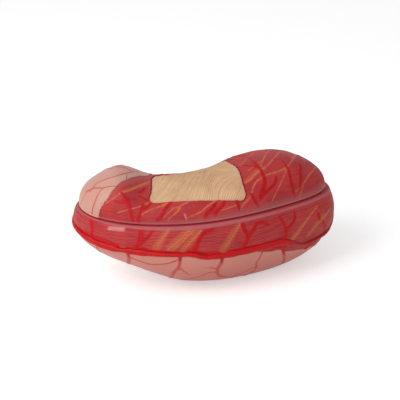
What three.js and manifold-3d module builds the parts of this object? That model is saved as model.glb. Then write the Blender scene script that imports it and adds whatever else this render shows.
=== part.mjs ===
// A classroom model of the human stomach, about life size, moulded in two halves.
// It lies on its back: the rear half rests on the table and the front half lifts off it.
// Millimetres, +Z up. The origin is on the flat of the underside. The greater curvature
// faces -Y, the lesser curvature +Y, the fundus is at +X and the pyloric end at -X.

import * as THREE from 'three';
import { mergeVertices } from 'three/addons/utils/BufferGeometryUtils.js';
import Module from 'manifold-3d';

const wasm = await Module();
wasm.setup();

// Body: stations along X, each with a height above the seam or a depth below it.
const PYLORIC_X = -83;
const INCISURE_X = -45;
const CREASE_X = 6;
const BODY_X = -15;
const FUNDUS_X = 88;
const PYLORIC_HEIGHT = 43;
const INCISURE_HEIGHT = 25;
const CREASE_HEIGHT = 30;
const FUNDUS_HEIGHT = 46;
const PYLORIC_DEPTH = 65;
const BODY_DEPTH = 76;
const FUNDUS_DEPTH = 81;
const FLAT_CUT = 1; // what the flat of the underside takes off the body's depth
const FULLNESS_PYLORIC = 2.35; // exponents of the cross-section, 2 for an ellipse
const FULLNESS_FRONT = 2.3;
const FULLNESS_REAR = 2.9;
const FULLNESS_X = [-88, 42];

// Outline of the seam, from the pyloric end round the greater curvature and back.
const OUTLINE = [
  [-121, 16], [-114, -12], [-89, -37], [-44, -51], [6, -51], [51, -35],
  [89, -16], [119, 4], [123, 28], [106, 53], [82, 64], [60, 67],
  [37, 55], [14, 36], [-12, 27], [-42, 24], [-70, 36], [-102, 39],
];
const RIM_LIP = 2.6; // the rear half's rim stands this far out from the front half's
const REAR_BULGE = 8; // how far the rear half swells out under its rim
const BULGE_PEAK = 0.8; // exponent of the height, under 1 to bring the fullest part up towards the rim
const FRONT_ROUND = 1.2; // edge rounding of the two rims
const REAR_ROUND = 2.6;

// Walls and fits.
const WALL = 7.5; // muscle shell
const LINING = 2.2; // mucosa lining between its folds
const FIT = 0.3; // clearance between seated pieces
const SEAM_GAP = 0.3; // between the two halves
const LAYER_STEP = 0.8; // the serosa stands this far out from the bared muscle

// Mucosa folds.
const FOLD_HEIGHT = 2.8;
const FOLD_COUNT = 6; // across each half, from rim to rim
const FOLD_WANDER = 0.11; // sideways wander, as a share of the distance between rims
const FOLD_WAVES = 2.5; // wander waves along the stomach

// Oesophagus and duodenum.
const OESOPHAGUS = { x: 44, root: 51, end: 79, radius: 10, lumen: 5.5, lean: -12, flare: 6, neck: 5.5 };
const DUODENUM = { x: -86, root: 30, end: 57, radius: 12, lumen: 8, lean: 14, flare: 5, neck: 4.6 };
const STUB_ROUND = 1.4;

// Window in the muscle coat, seen from above, and the oblique muscle panel in it.
const WINDOW = [
  [-46, -17], [-47, -33], [-30, -37], [-8, -39.5], [14, -38.5], [40, -33],
  [38.5, -22], [35, -2], [29, 14], [22, 25], [4, 17], [-14, 12], [-30, 11.5], [-44, 12],
];
const WINDOW_DEPTH = 2;
const PANEL_THICKNESS = 1.2;

// Edge of the serosa: on the front half seen from above, on the rear half seen from the front.
const FRONT_SEROSA = [[-97, -60], [-95, -28], [-88, -27], [-78, -24], [-68, -16], [-57, -2], [-51, 9], [-49, 60]];
const REAR_SEROSA = [[-140, 18], [-110, 21], [-60, 25], [-16, 28], [20, 32], [62, 32], [82, 42], [104, 48], [140, 50]];

// Arteries on the rear half: [place along the outline, depth below the seam] stations.
const ARTERY_STAND = 0.55; // share of the diameter that stands out of the wall
const EPIPLOIC = {
  diameter: 4.4,
  stations: [[-0.02, 14], [0.03, 18], [0.13, 24], [0.2, 26], [0.22, 31], [0.3, 31], [0.35, 43], [0.41, 41], [0.45, 26]],
  steps: 32,
};
const GASTRIC = { diameter: 3.6, stations: [[0.645, 19], [0.7, 14], [0.78, 16], [0.84, 13], [0.875, 18]], steps: 14 };
const BRANCH_DIAMETER = 2.4;
const REAR_BRANCHES = [
  [[-104, 19], [-106, 6]],
  [[-64, 23], [-59, 13], [-58.5, 4]],
  [[-59, 13], [-53, 9], [-47, 4]],
  [[-11, 26], [-3, 12], [8, 5]],
  [[35, 29], [42, 15], [36, 4]],
  [[75, 33], [78.5, 18], [74, 4]],
  [[78.5, 18], [85.5, 14], [88, 6]],
  [[42, 15], [50, 8], [59, 7]],
];
const FRONT_BRANCHES = [
  [[-64, 5], [-66, 17], [-71, 24]],
  [[-58, 5], [-55, 16], [-46, 19]],
  [[-40, 6], [-35, 12], [-30, 17]],
  [[2, 6], [10, 13], [20, 17]],
  [[54, 12], [58, 22], [57, 30]],
  [[87, 6], [84, 17], [82, 27]],
];

// Pins and magnets that hold the halves together, by place along the outline, 0 to 1.
const PIN_PLACES = [0.07, 0.32, 0.62];
const PIN_DIAMETER = 3;
const PIN_SEAT = 7;
const PIN_STAND = 5;
const MAGNET_PLACES = [0.19, 0.42, 0.83];
const MAGNET_DIAMETER = 4;
const MAGNET_HEIGHT = 3;
const MAGNET_SINK = 0.4; // below the face of the rim
const HOLE_SPARE = 1; // a pin's hole in the front half is this much deeper than the pin stands

// Facets.
const SHELL_COLUMNS = 46;
const SHELL_ROWS = 8;
const RIM_ROWS = [0, 0.13, 0.5, 1]; // levels of a rim's rounding, as shares of its radius
const LINER_COLUMNS = 32;
const LINER_ROWS = 6;
const FOLD_COLUMNS = 26;
const FACETS_PER_FOLD = 4;
const ROUND_FACETS = 12;
const ARTERY_FACETS = 8;
const BRANCH_FACETS = 5;
const EDGE_STEPS = 16; // of the serosa's edge
const WINDOW_STEPS = 26;
const WELD = 1e-4;
const BISECTIONS = 24;
const OVERRUN = 2; // how far a cutting solid runs past the face that it cuts

const SEAM_Z = BODY_DEPTH - FLAT_CUT;
const WIDEST = 400; // longer than any piece, for the blocks that trim them

const materials = {
  muscle: new THREE.MeshStandardMaterial({ color: 0xb2373c, roughness: 0.38, metalness: 0 }),
  mucosa: new THREE.MeshStandardMaterial({ color: 0xd99a86, roughness: 0.35, metalness: 0 }),
  oblique: new THREE.MeshStandardMaterial({ color: 0xd4a780, roughness: 0.45, metalness: 0 }),
  artery: new THREE.MeshStandardMaterial({ color: 0xcd1414, roughness: 0.3, metalness: 0 }),
  steel: new THREE.MeshStandardMaterial({ color: 0xb8babd, roughness: 0.3, metalness: 1 }),
};

// Eases between [x, value] stations, level before the first and after the last.
function ease(stations, x) {
  if (x <= stations[0][0]) return stations[0][1];
  for (let i = 1; i < stations.length; i += 1) {
    const [x0, from] = stations[i - 1];
    const [x1, to] = stations[i];
    if (x < x1) return from + (to - from) * THREE.MathUtils.smoothstep(x, x0, x1);
  }
  return stations[stations.length - 1][1];
}

// The two halves: which way they go from the seam, how far, and their section.
const front = {
  way: 1,
  reach: [[PYLORIC_X, PYLORIC_HEIGHT], [INCISURE_X, INCISURE_HEIGHT], [CREASE_X, CREASE_HEIGHT], [FUNDUS_X, FUNDUS_HEIGHT]],
  fullness: [[FULLNESS_X[0], FULLNESS_PYLORIC], [FULLNESS_X[1], FULLNESS_FRONT]],
  lip: 0,
  bulge: 0,
  round: FRONT_ROUND,
  floor: Infinity,
};
const rear = {
  way: -1,
  reach: [[PYLORIC_X, PYLORIC_DEPTH], [BODY_X, BODY_DEPTH], [FUNDUS_X, FUNDUS_DEPTH]],
  fullness: [[FULLNESS_X[0], FULLNESS_PYLORIC], [FULLNESS_X[1], FULLNESS_REAR]],
  lip: RIM_LIP,
  bulge: REAR_BULGE,
  round: REAR_ROUND,
  floor: SEAM_Z,
};

// The same half without the flat of its underside, and as its hollow is laid out: the lip of
// the rim is added to the wall, so that the hollows of both halves meet edge to edge.
const unfloored = (half) => ({ ...half, floor: Infinity });
const hollowOf = (half) => ({ ...half, lip: 0 });

// Outline as a closed uniform cubic B-spline: the point at place 0 to 1 and the outward normal.
function outlineAt(place) {
  const count = OUTLINE.length;
  const t = (((place % 1) + 1) % 1) * count;
  const i = Math.floor(t);
  const f = t - i;
  const weights = [(1 - f) ** 3, 3 * f ** 3 - 6 * f ** 2 + 4, -3 * f ** 3 + 3 * f ** 2 + 3 * f + 1, f ** 3];
  const slopes = [-((1 - f) ** 2), 3 * f ** 2 - 4 * f, -3 * f ** 2 + 2 * f + 1, f ** 2];
  const point = new THREE.Vector2();
  const along = new THREE.Vector2();
  for (let k = 0; k < 4; k += 1) {
    const [x, y] = OUTLINE[(i + k - 1 + count) % count];
    point.add(new THREE.Vector2(x, y).multiplyScalar(weights[k] / 6));
    along.add(new THREE.Vector2(x, y).multiplyScalar(slopes[k]));
  }
  along.normalize();
  return { point, outward: new THREE.Vector2(along.y, -along.x) };
}

// A point of a half's surface. spread goes from 1 at the rim to 0 over the origin, along the
// ray from the origin to the outline; the height follows a superellipse; inset is the
// distance inside the outer surface.
function surfacePoint(half, place, spread, inset) {
  const { point, outward } = outlineAt(place);
  const e = ease(half.fullness, point.x);
  const rise = Math.max(0, 1 - Math.min(spread, 1) ** e) ** (1 / e);
  const swell = half.bulge * Math.sin(Math.PI * rise ** BULGE_PEAK);
  const plan = outward.clone().multiplyScalar(half.lip + swell - inset).add(point).multiplyScalar(spread);
  const full = (ease(half.reach, plan.x) - inset) * rise;
  const height = Math.min(full, half.floor - inset);
  return new THREE.Vector3(plan.x, plan.y, SEAM_Z + half.way * height);
}

// The spread at which a half reaches the given height over its rim.
function spreadAtHeight(half, place, height) {
  const { point } = outlineAt(place);
  const e = ease(half.fullness, point.x);
  const rise = Math.min(1, height / ease(half.reach, point.x));
  return (1 - rise ** e) ** (1 / e);
}

// Triangles of a grid of points, row by row.
function gridTriangles(rows) {
  const corners = [];
  for (let j = 1; j < rows.length; j += 1) {
    for (let i = 1; i < rows[j].length; i += 1) {
      const [a, b, c, d] = [rows[j - 1][i - 1], rows[j - 1][i], rows[j][i], rows[j][i - 1]];
      corners.push(a, b, c, a, c, d);
    }
  }
  return corners;
}

// Solid from loose triangles: welds them, drops the collapsed ones and turns them to face out.
function solidFromCorners(corners) {
  const loose = new THREE.BufferGeometry();
  loose.setAttribute('position', new THREE.Float32BufferAttribute(corners.flatMap((p) => [p.x, p.y, p.z]), 3));
  return solidFromGeometry(loose);
}

function solidFromGeometry(geometry) {
  const bare = geometry.index ? geometry.toNonIndexed() : geometry;
  bare.deleteAttribute('normal');
  bare.deleteAttribute('uv');
  const welded = mergeVertices(bare, WELD);
  const points = welded.attributes.position;
  const index = welded.index.array;
  const kept = [];
  let volume = 0;
  const [a, b, c] = [new THREE.Vector3(), new THREE.Vector3(), new THREE.Vector3()];
  for (let i = 0; i < index.length; i += 3) {
    const [p, q, r] = [index[i], index[i + 1], index[i + 2]];
    if (p === q || q === r || r === p) continue;
    kept.push(p, q, r);
    a.fromBufferAttribute(points, p);
    b.fromBufferAttribute(points, q);
    c.fromBufferAttribute(points, r);
    volume += a.dot(b.cross(c));
  }
  const triVerts = new Uint32Array(volume < 0 ? kept.reverse() : kept);
  const vertProperties = new Float32Array(points.array);
  return new wasm.Manifold(new wasm.Mesh({ numProp: 3, vertProperties, triVerts }));
}

function meshFromSolid(solid, name, material) {
  const { vertProperties, triVerts } = solid.getMesh();
  const geometry = new THREE.BufferGeometry();
  geometry.setAttribute('position', new THREE.BufferAttribute(vertProperties, 3));
  geometry.setIndex(new THREE.BufferAttribute(triVerts, 1));
  geometry.computeVertexNormals();
  const mesh = new THREE.Mesh(geometry, material);
  mesh.name = name;
  return mesh;
}

// Closes a surface over the seam plane: carries its rim straight on by overrun and fans it shut.
function closedAtSeam(corners, rim, half, overrun) {
  const moved = rim.map((p) => new THREE.Vector3(p.x, p.y, SEAM_Z - half.way * overrun));
  const centre = new THREE.Vector3(0, 0, SEAM_Z - half.way * overrun);
  const fan = [];
  for (let i = 1; i < moved.length; i += 1) fan.push(moved[i - 1], moved[i], centre);
  const skirt = overrun > 0 ? gridTriangles([moved, rim]) : [];
  return solidFromCorners([...corners, ...skirt, ...fan.reverse()]);
}

// A half as a solid dome on the seam plane, its rim rounded off.
function dome(half, { inset, columns, rows, round, overrun }) {
  const rimRows = round > 0 ? RIM_ROWS : [0];
  const grid = [];
  const rimCount = rimRows.length - 1;
  for (let j = 0; j <= rows + rimCount; j += 1) {
    const row = [];
    for (let i = 0; i < columns; i += 1) {
      const place = i / columns;
      const start = spreadAtHeight(half, place, round);
      const height = round * (rimRows[j] ?? 1);
      const angle = THREE.MathUtils.lerp(Math.acos(start), Math.PI / 2, (j - rimCount) / rows);
      const spread = j <= rimCount ? spreadAtHeight(half, place, height) : Math.cos(angle);
      const rounding = j < rimCount ? round - Math.sqrt(round ** 2 - (round - height) ** 2) : 0;
      row.push(surfacePoint(half, place, Math.max(spread, 0), inset + rounding));
    }
    grid.push([...row, row[0]]);
  }
  return closedAtSeam(gridTriangles(grid), grid[0], half, overrun);
}

// The place along the outline that lies in the given direction from the origin.
function placeTowards(direction) {
  let low = 0;
  let high = 1;
  const { point: first } = outlineAt(0);
  const turnFromFirst = (v) => (Math.atan2(v.y, v.x) - Math.atan2(first.y, first.x) + 4 * Math.PI) % (2 * Math.PI);
  const wanted = turnFromFirst(direction);
  for (let step = 0; step < BISECTIONS; step += 1) {
    const middle = (low + high) / 2;
    if (turnFromFirst(outlineAt(middle).point) < wanted) low = middle;
    else high = middle;
  }
  return low;
}

// The folded inner face of the mucosa: rows run from the pyloric end to the fundus and are
// counted from the greater to the lesser curvature, four to a fold, so the folds run lengthwise.
function foldedCavity(half) {
  const rows = FOLD_COUNT * FACETS_PER_FOLD;
  const length = Math.max(...OUTLINE.map(([x]) => x));
  const width = Math.max(...OUTLINE.map(([, y]) => -y));
  const grid = [];
  for (let j = 0; j <= rows; j += 1) {
    const row = [];
    for (let i = 0; i <= FOLD_COLUMNS; i += 1) {
      const along = (Math.PI * i) / FOLD_COLUMNS;
      const wave = Math.sin(2 * FOLD_WAVES * along + half.way) * Math.sin(along);
      const across = j / rows + FOLD_WANDER * wave * Math.sin((Math.PI * j) / rows) ** 2 / 2;
      const [p, q] = [-Math.cos(along), -Math.sin(along) * Math.cos(Math.PI * across)];
      const spread = Math.min(1, Math.hypot(p, q));
      const place = placeTowards(new THREE.Vector2(p * length, q * width));
      const fold = 0.5 - 0.5 * Math.cos((2 * Math.PI * j) / FACETS_PER_FOLD);
      const fade = Math.min(1, 2 * Math.sin(along));
      row.push(surfacePoint(hollowOf(half), place, spread, WALL + FIT + LINING + FOLD_HEIGHT * fold * fade));
    }
    grid.push(row);
  }
  const rim = [...grid[0], ...[...grid[rows]].reverse()];
  return closedAtSeam(gridTriangles(grid), rim, half, OVERRUN);
}

// A block that fills everything on one side of a level plane.
function blockFrom(z, way) {
  const block = new THREE.BoxGeometry(WIDEST, WIDEST, WIDEST);
  block.translate(0, 0, z + (way * WIDEST) / 2);
  return solidFromGeometry(block);
}

// Turned tube along +Y from its root, leaned about the vertical, from [radius, y] pairs.
function turned(profile, tube) {
  const points = profile.map(([radius, y]) => new THREE.Vector2(radius, y - tube.root));
  const lathe = new THREE.LatheGeometry(points, 2 * ROUND_FACETS);
  lathe.rotateZ(THREE.MathUtils.degToRad(tube.lean));
  lathe.translate(tube.x, tube.root, SEAM_Z);
  return solidFromGeometry(lathe);
}

// The outside of a tube: its root flares into the stomach's wall, its end is rounded off.
function tubeOutside(tube) {
  const profile = [[0, tube.root - tube.radius]];
  const flareEnd = tube.root + 3 * tube.flare;
  for (let k = 0; k <= 5; k += 1) {
    const u = k / 5;
    profile.push([tube.radius + tube.flare * (1 - u) ** 2, THREE.MathUtils.lerp(tube.root, flareEnd, u)]);
  }
  for (let k = 0; k <= 3; k += 1) {
    const turn = (Math.PI / 2) * (k / 3);
    const edge = [tube.radius - STUB_ROUND * (1 - Math.cos(turn)), tube.end - STUB_ROUND * (1 - Math.sin(turn))];
    profile.push(edge);
  }
  return turned([...profile, [0, tube.end]], tube);
}

// The passage in a tube: it narrows to the neck at the wall and widens into the stomach.
function tubePassage(tube) {
  const inner = tube.root - 2 * tube.radius;
  const neckAt = tube.root + tube.flare / 2;
  return turned([
    [0, inner], [tube.lumen, inner], [tube.lumen, tube.root - tube.radius / 2], [tube.neck, neckAt],
    [tube.neck, neckAt + tube.flare / 2], [tube.lumen, neckAt + 2 * tube.flare], [tube.lumen, tube.end + OVERRUN],
    [0, tube.end + OVERRUN],
  ], tube);
}

const tubes = [OESOPHAGUS, DUODENUM];

// Prism of a closed outline: upright from a plan view, or level along Y from a front view.
function uprightPrism(loop, from, to) {
  const shape = new THREE.Shape(loop.map(([x, y]) => new THREE.Vector2(x, y)));
  const prism = new THREE.ExtrudeGeometry(shape, { depth: to - from, bevelEnabled: false });
  prism.translate(0, 0, from);
  return solidFromGeometry(prism);
}

function levelPrism(loop) {
  const shape = new THREE.Shape(loop.map(([x, z]) => new THREE.Vector2(x, z)));
  const prism = new THREE.ExtrudeGeometry(shape, { depth: WIDEST, bevelEnabled: false });
  prism.rotateX(Math.PI / 2);
  prism.translate(0, WIDEST / 2, 0);
  return solidFromGeometry(prism);
}

// Smooth open or closed line through a few [a, b] points.
function smoothLine(points, closed, steps) {
  const curve = new THREE.CatmullRomCurve3(points.map(([a, b]) => new THREE.Vector3(a, b, 0)), closed, 'centripetal');
  const line = curve.getPoints(steps).map((p) => [p.x, p.y]);
  return closed ? line.slice(0, -1) : line;
}

// A closed loop moved in by a distance, along the normal at each point.
function loopInside(loop, distance) {
  return loop.map(([x, y], i) => {
    const [ax, ay] = loop[(i + loop.length - 1) % loop.length];
    const [bx, by] = loop[(i + 1) % loop.length];
    const along = new THREE.Vector2(bx - ax, by - ay).normalize();
    return [x - along.y * distance, y + along.x * distance];
  });
}

// The point of a half's greater-curvature face at the given x and height from the seam.
function facePoint(half, x, height, inset) {
  const rise = Math.min(1, height / ease(half.reach, x));
  let low = placeTowards(new THREE.Vector2(-1, 0));
  let high = placeTowards(new THREE.Vector2(1, 0));
  let point = null;
  for (let step = 0; step < BISECTIONS; step += 1) {
    const middle = (low + high) / 2;
    const e = ease(half.fullness, outlineAt(middle).point.x);
    point = surfacePoint(half, middle, (1 - rise ** e) ** (1 / e), inset);
    if (point.x < x) low = middle;
    else high = middle;
  }
  return point;
}

// A round vessel along a curve, with its ends turned down into the wall.
function vessel(points, diameter, facets, steps) {
  const shape = new THREE.Shape();
  for (let k = 0; k < facets; k += 1) {
    const turn = (2 * Math.PI * k) / facets;
    const corner = [(diameter / 2) * Math.cos(turn), (diameter / 2) * Math.sin(turn)];
    if (k === 0) shape.moveTo(...corner);
    else shape.lineTo(...corner);
  }
  const extrudePath = new THREE.CatmullRomCurve3(points, false, 'centripetal');
  return solidFromGeometry(new THREE.ExtrudeGeometry(shape, { steps, extrudePath, bevelEnabled: false }));
}

function branch(half, route) {
  const sunk = BRANCH_DIAMETER / 4;
  const points = route.map(([x, height], i) => {
    const end = i === 0 || i === route.length - 1;
    return facePoint(half, x, height, (half === front ? 0 : LAYER_STEP) + (end ? BRANCH_DIAMETER : sunk));
  });
  return vessel(points, BRANCH_DIAMETER, BRANCH_FACETS, 2 * (route.length - 1));
}

// The point of a half's surface at the given place along the outline and height from the seam.
function pointAtHeight(half, place, height, inset) {
  let low = 0;
  let high = 1;
  let point = null;
  for (let step = 0; step < BISECTIONS; step += 1) {
    const spread = (low + high) / 2;
    point = surfacePoint(half, place, spread, inset);
    if (half.way * (point.z - SEAM_Z) > height) low = spread;
    else high = spread;
  }
  return point;
}

// An artery, or with room the groove that it lies in. It follows its stations at an even pace.
function artery({ diameter, stations, steps }, room) {
  const [first, last] = [stations[0][0], stations[stations.length - 1][0]];
  const points = [];
  for (let k = 0; k <= steps; k += 1) {
    const place = THREE.MathUtils.lerp(first, last, k / steps);
    points.push(pointAtHeight(rear, place, ease(stations, place), LAYER_STEP + diameter * (0.5 - ARTERY_STAND)));
  }
  return vessel(points, diameter + 2 * room, ARTERY_FACETS, steps);
}

// Round hole or pin in the middle of the rim's wall, from a level upwards.
function rimCylinder(place, diameter, bottom, top) {
  const { point, outward } = outlineAt(place);
  const centre = outward.clone().multiplyScalar(-WALL / 2).add(point);
  const cylinder = new THREE.CylinderGeometry(diameter / 2, diameter / 2, top - bottom, ROUND_FACETS);
  cylinder.rotateX(Math.PI / 2);
  cylinder.translate(centre.x, centre.y, (bottom + top) / 2);
  return solidFromGeometry(cylinder);
}

const rearFace = SEAM_Z - SEAM_GAP / 2;
const frontFace = SEAM_Z + SEAM_GAP / 2;
const faceOf = (half) => (half === front ? frontFace : rearFace);
const sideOf = (half) => blockFrom(faceOf(half), half.way);

// Where the serosa still covers the half: over its region the wall keeps its full thickness.
function serosaRegion(half) {
  if (half === front) {
    const edge = smoothLine(FRONT_SEROSA, false, EDGE_STEPS);
    return uprightPrism([...edge, [-WIDEST / 2, WIDEST / 2], [-WIDEST / 2, -WIDEST / 2]], 0, WIDEST / 2);
  }
  const edge = smoothLine(REAR_SEROSA.map(([x, depth]) => [x, SEAM_Z - depth]), false, EDGE_STEPS);
  return levelPrism([...edge, [WIDEST / 2, -OVERRUN], [-WIDEST / 2, -OVERRUN]]);
}

// The muscle coat: outer form, tubes and serosa step, hollowed out, cut flat and grooved.
function muscleShell(half) {
  const outside = { columns: SHELL_COLUMNS, rows: SHELL_ROWS, round: half.round, overrun: 0 };
  const whole = dome(unfloored(half), { ...outside, inset: 0 });
  const bared = dome(unfloored(half), { ...outside, inset: LAYER_STEP });
  const hollow = dome(hollowOf(unfloored(half)), {
    inset: WALL, columns: LINER_COLUMNS, rows: LINER_ROWS, round: 0, overrun: OVERRUN,
  });
  let shell = whole.intersect(serosaRegion(half)).add(bared);
  for (const tube of tubes) shell = shell.add(tubeOutside(tube));
  for (const route of half === front ? FRONT_BRANCHES : REAR_BRANCHES) shell = shell.add(branch(half, route));
  shell = shell.intersect(sideOf(half));
  if (half === rear) shell = shell.intersect(blockFrom(0, 1)).subtract(artery(EPIPLOIC, FIT)).subtract(artery(GASTRIC, FIT));
  shell = shell.subtract(half === rear ? hollow.intersect(blockFrom(WALL, 1)) : hollow);
  for (const tube of tubes) shell = shell.subtract(tubePassage(tube));
  for (const place of PIN_PLACES) {
    const hole = PIN_DIAMETER + 2 * FIT;
    const [bottom, top] = half === rear
      ? [SEAM_Z - PIN_SEAT - FIT, SEAM_Z + OVERRUN]
      : [SEAM_Z - OVERRUN, SEAM_Z + PIN_STAND + HOLE_SPARE];
    shell = shell.subtract(rimCylinder(place, hole, bottom, top));
  }
  for (const place of MAGNET_PLACES) {
    const bed = MAGNET_HEIGHT + MAGNET_SINK + FIT;
    const [bottom, top] = half === rear ? [rearFace - bed, SEAM_Z + OVERRUN] : [SEAM_Z - OVERRUN, frontFace + bed];
    shell = shell.subtract(rimCylinder(place, MAGNET_DIAMETER + 2 * FIT, bottom, top));
  }
  return shell;
}

// The mucosa lining: backed by the muscle coat all over, its inner face thrown into folds.
function mucosaLining(half) {
  const inset = WALL + FIT;
  let lining = dome(hollowOf(unfloored(half)), { inset, columns: LINER_COLUMNS, rows: LINER_ROWS, round: 0, overrun: 0 });
  lining = lining.intersect(sideOf(half));
  if (half === rear) lining = lining.intersect(blockFrom(inset, 1));
  lining = lining.subtract(foldedCavity(half));
  for (const tube of tubes) lining = lining.subtract(tubePassage(tube));
  return lining;
}

// Window in the front muscle coat and the panel of oblique muscle that is let into it.
const windowLoop = smoothLine(WINDOW, true, WINDOW_STEPS);
const windowPrism = uprightPrism(windowLoop, SEAM_Z, SEAM_Z + WIDEST / 2);
const panelPrism = uprightPrism(loopInside(windowLoop, FIT), SEAM_Z, SEAM_Z + WIDEST / 2);
const frontLevel = (inset) => dome(front, { inset, columns: LINER_COLUMNS, rows: LINER_ROWS, round: 0, overrun: OVERRUN });

const windowFloor = LAYER_STEP + WINDOW_DEPTH;
const recess = windowPrism.subtract(frontLevel(windowFloor));
const panel = panelPrism
  .intersect(frontLevel(windowFloor - FIT - PANEL_THICKNESS))
  .subtract(frontLevel(windowFloor - FIT));

const rearHalf = new THREE.Group();
rearHalf.add(
  meshFromSolid(muscleShell(rear), 'rear_muscle_shell', materials.muscle),
  meshFromSolid(mucosaLining(rear), 'rear_mucosa_lining', materials.mucosa),
  meshFromSolid(artery(EPIPLOIC, 0), 'gastroepiploic_artery', materials.artery),
  meshFromSolid(artery(GASTRIC, 0), 'gastric_artery', materials.artery),
);

const frontHalf = new THREE.Group();
frontHalf.add(
  meshFromSolid(muscleShell(front).subtract(recess), 'front_muscle_shell', materials.muscle),
  meshFromSolid(mucosaLining(front), 'front_mucosa_lining', materials.mucosa),
  meshFromSolid(panel, 'oblique_muscle_panel', materials.oblique),
);

PIN_PLACES.forEach((place, i) => {
  const pin = rimCylinder(place, PIN_DIAMETER, SEAM_Z - PIN_SEAT, SEAM_Z + PIN_STAND);
  rearHalf.add(meshFromSolid(pin, `locating_pin_${i + 1}`, materials.steel));
});
MAGNET_PLACES.forEach((place, i) => {
  const below = rimCylinder(place, MAGNET_DIAMETER, rearFace - MAGNET_SINK - MAGNET_HEIGHT, rearFace - MAGNET_SINK);
  const above = rimCylinder(place, MAGNET_DIAMETER, frontFace + MAGNET_SINK, frontFace + MAGNET_SINK + MAGNET_HEIGHT);
  rearHalf.add(meshFromSolid(below, `rear_magnet_${i + 1}`, materials.steel));
  frontHalf.add(meshFromSolid(above, `front_magnet_${i + 1}`, materials.steel));
});

const stomach = new THREE.Group();
stomach.add(rearHalf, frontHalf);

export default stomach;
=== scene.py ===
"""The finish of a two-part classroom model of the stomach.

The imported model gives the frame: every piece is made here as a fine surface in the place of its solid.
Lengths in tables and surface functions are millimetres, with +X towards the fundus, -Y towards the
greater curvature, +Z up and the seam level; meshes and properties are in metres. A point of a half is
given by its place along the seam's outline, 0 to 1, and by the angle of its section, 0 at the rim and a
quarter turn in the middle.
"""

import math
from types import SimpleNamespace

import bpy
import numpy as np
from bpy.props import FloatProperty, FloatVectorProperty, IntProperty, PointerProperty
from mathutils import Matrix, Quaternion, Vector


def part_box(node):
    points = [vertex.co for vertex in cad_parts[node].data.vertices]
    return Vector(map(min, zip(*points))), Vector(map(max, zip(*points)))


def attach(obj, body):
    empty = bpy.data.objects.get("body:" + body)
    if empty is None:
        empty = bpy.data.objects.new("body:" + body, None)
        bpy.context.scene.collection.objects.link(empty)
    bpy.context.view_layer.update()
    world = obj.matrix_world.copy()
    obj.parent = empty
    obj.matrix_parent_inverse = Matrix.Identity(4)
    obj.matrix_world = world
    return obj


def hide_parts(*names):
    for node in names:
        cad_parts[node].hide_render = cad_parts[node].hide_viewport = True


bl_info = {
    "name": "Stomach anatomy model",
    "version": (1, 0, 0),
    "blender": (4, 5, 0),
    "location": "3D View > Sidebar > Stomach",
    "description": "Builds the painted halves, linings, arteries and fittings of a classroom stomach",
    "category": "Object",
}

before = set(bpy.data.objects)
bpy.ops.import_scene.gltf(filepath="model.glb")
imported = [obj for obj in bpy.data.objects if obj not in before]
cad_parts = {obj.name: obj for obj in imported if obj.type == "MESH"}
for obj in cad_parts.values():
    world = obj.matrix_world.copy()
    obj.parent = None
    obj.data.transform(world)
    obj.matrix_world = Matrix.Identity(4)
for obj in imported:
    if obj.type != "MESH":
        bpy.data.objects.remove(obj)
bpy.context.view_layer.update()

MM = 0.001

# The body: its outline at the seam, and along X each half's reach over or under the seam and its fullness.
# dense draws the rows of a shell towards its rim, and contrast is that of the fibres painted on it.
SEAM = (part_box("rear_muscle_shell")[1].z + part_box("front_muscle_shell")[0].z) / 2 / MM
OUTLINE = np.array([
    (-121, 16), (-114, -12), (-89, -37), (-44, -51), (6, -51), (51, -35),
    (89, -16), (119, 4), (123, 28), (106, 53), (82, 64), (60, 67),
    (37, 55), (14, 36), (-12, 27), (-42, 24), (-70, 36), (-102, 39),
], float)
BULGE_PEAK = 0.8
FRONT = SimpleNamespace(
    side="front", body="front_half", way=1, lip=0, bulge=0, round=1.2, floor=math.inf,
    dense=1.05, contrast=0.24,
    face=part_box("front_muscle_shell")[0].z / MM,
    reach=[(-83, 43), (-45, 25), (6, 30), (88, 46)],
    fullness=[(-88, 2.35), (42, 2.3)],
)
REAR = SimpleNamespace(
    side="rear", body="rear_half", way=-1, lip=2.6, bulge=8, round=2.6, floor=SEAM,
    dense=1.45, contrast=0.46,
    face=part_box("rear_muscle_shell")[1].z / MM,
    reach=[(-83, 65), (-15, 76), (88, 81)],
    fullness=[(-88, 2.35), (42, 2.9)],
)
OESOPHAGUS = SimpleNamespace(x=44, root=51, end=78.95, radius=10, lumen=5.5, lean=-12, flare=6, neck=5.5)
DUODENUM = SimpleNamespace(x=-86, root=30, end=57, radius=12, lumen=8, lean=14, flare=5, neck=4.6)
STUBS = (OESOPHAGUS, DUODENUM)
STUB_ROUND = 1.4
STUB_MARGIN = 1.5  # past its flare and off its side, where a stub's own fibres begin and end
RIDGE_HEIGHT = 0.12
RIDGE_PITCH = 2.1
FITTINGS = (1, 2, 3)
FOLD_WANDER = 0.11
FOLD_WAVES = 2.5

# Edge of the serosa: on the front half as points over the seam, on the rear half as (x, depth).
FRONT_SEROSA = [
    (-97, -27, 0), (-96, -28, 6), (-91, -28, 16), (-86, -27, 21), (-82, -24, 26), (-74, -17, 31),
    (-64, -5, 30), (-57, 5, 27), (-50, 11, 24), (-48, 17, 17), (-48, 22, 0),
]
REAR_SEROSA = [
    (-140, 18), (-110, 22), (-60, 25), (-20, 27), (4, 33), (44, 34), (66, 39), (86, 47),
    (106, 52), (140, 50),
]
WINDOW = [
    (-46, -17), (-47, -33), (-30, -37), (-8, -39.5), (14, -38.5), (40, -33),
    (38.5, -22), (35, -2), (29, 14), (22, 25), (4, 17), (-14, 12), (-30, 11.5), (-44, 12),
]
WINDOW_MIDDLE = (-3, -13)
RECESS_HEIGHT = 60  # of the solid that cuts the window
FAN_FOOT = -38  # the y where the fan's fibres start

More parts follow.
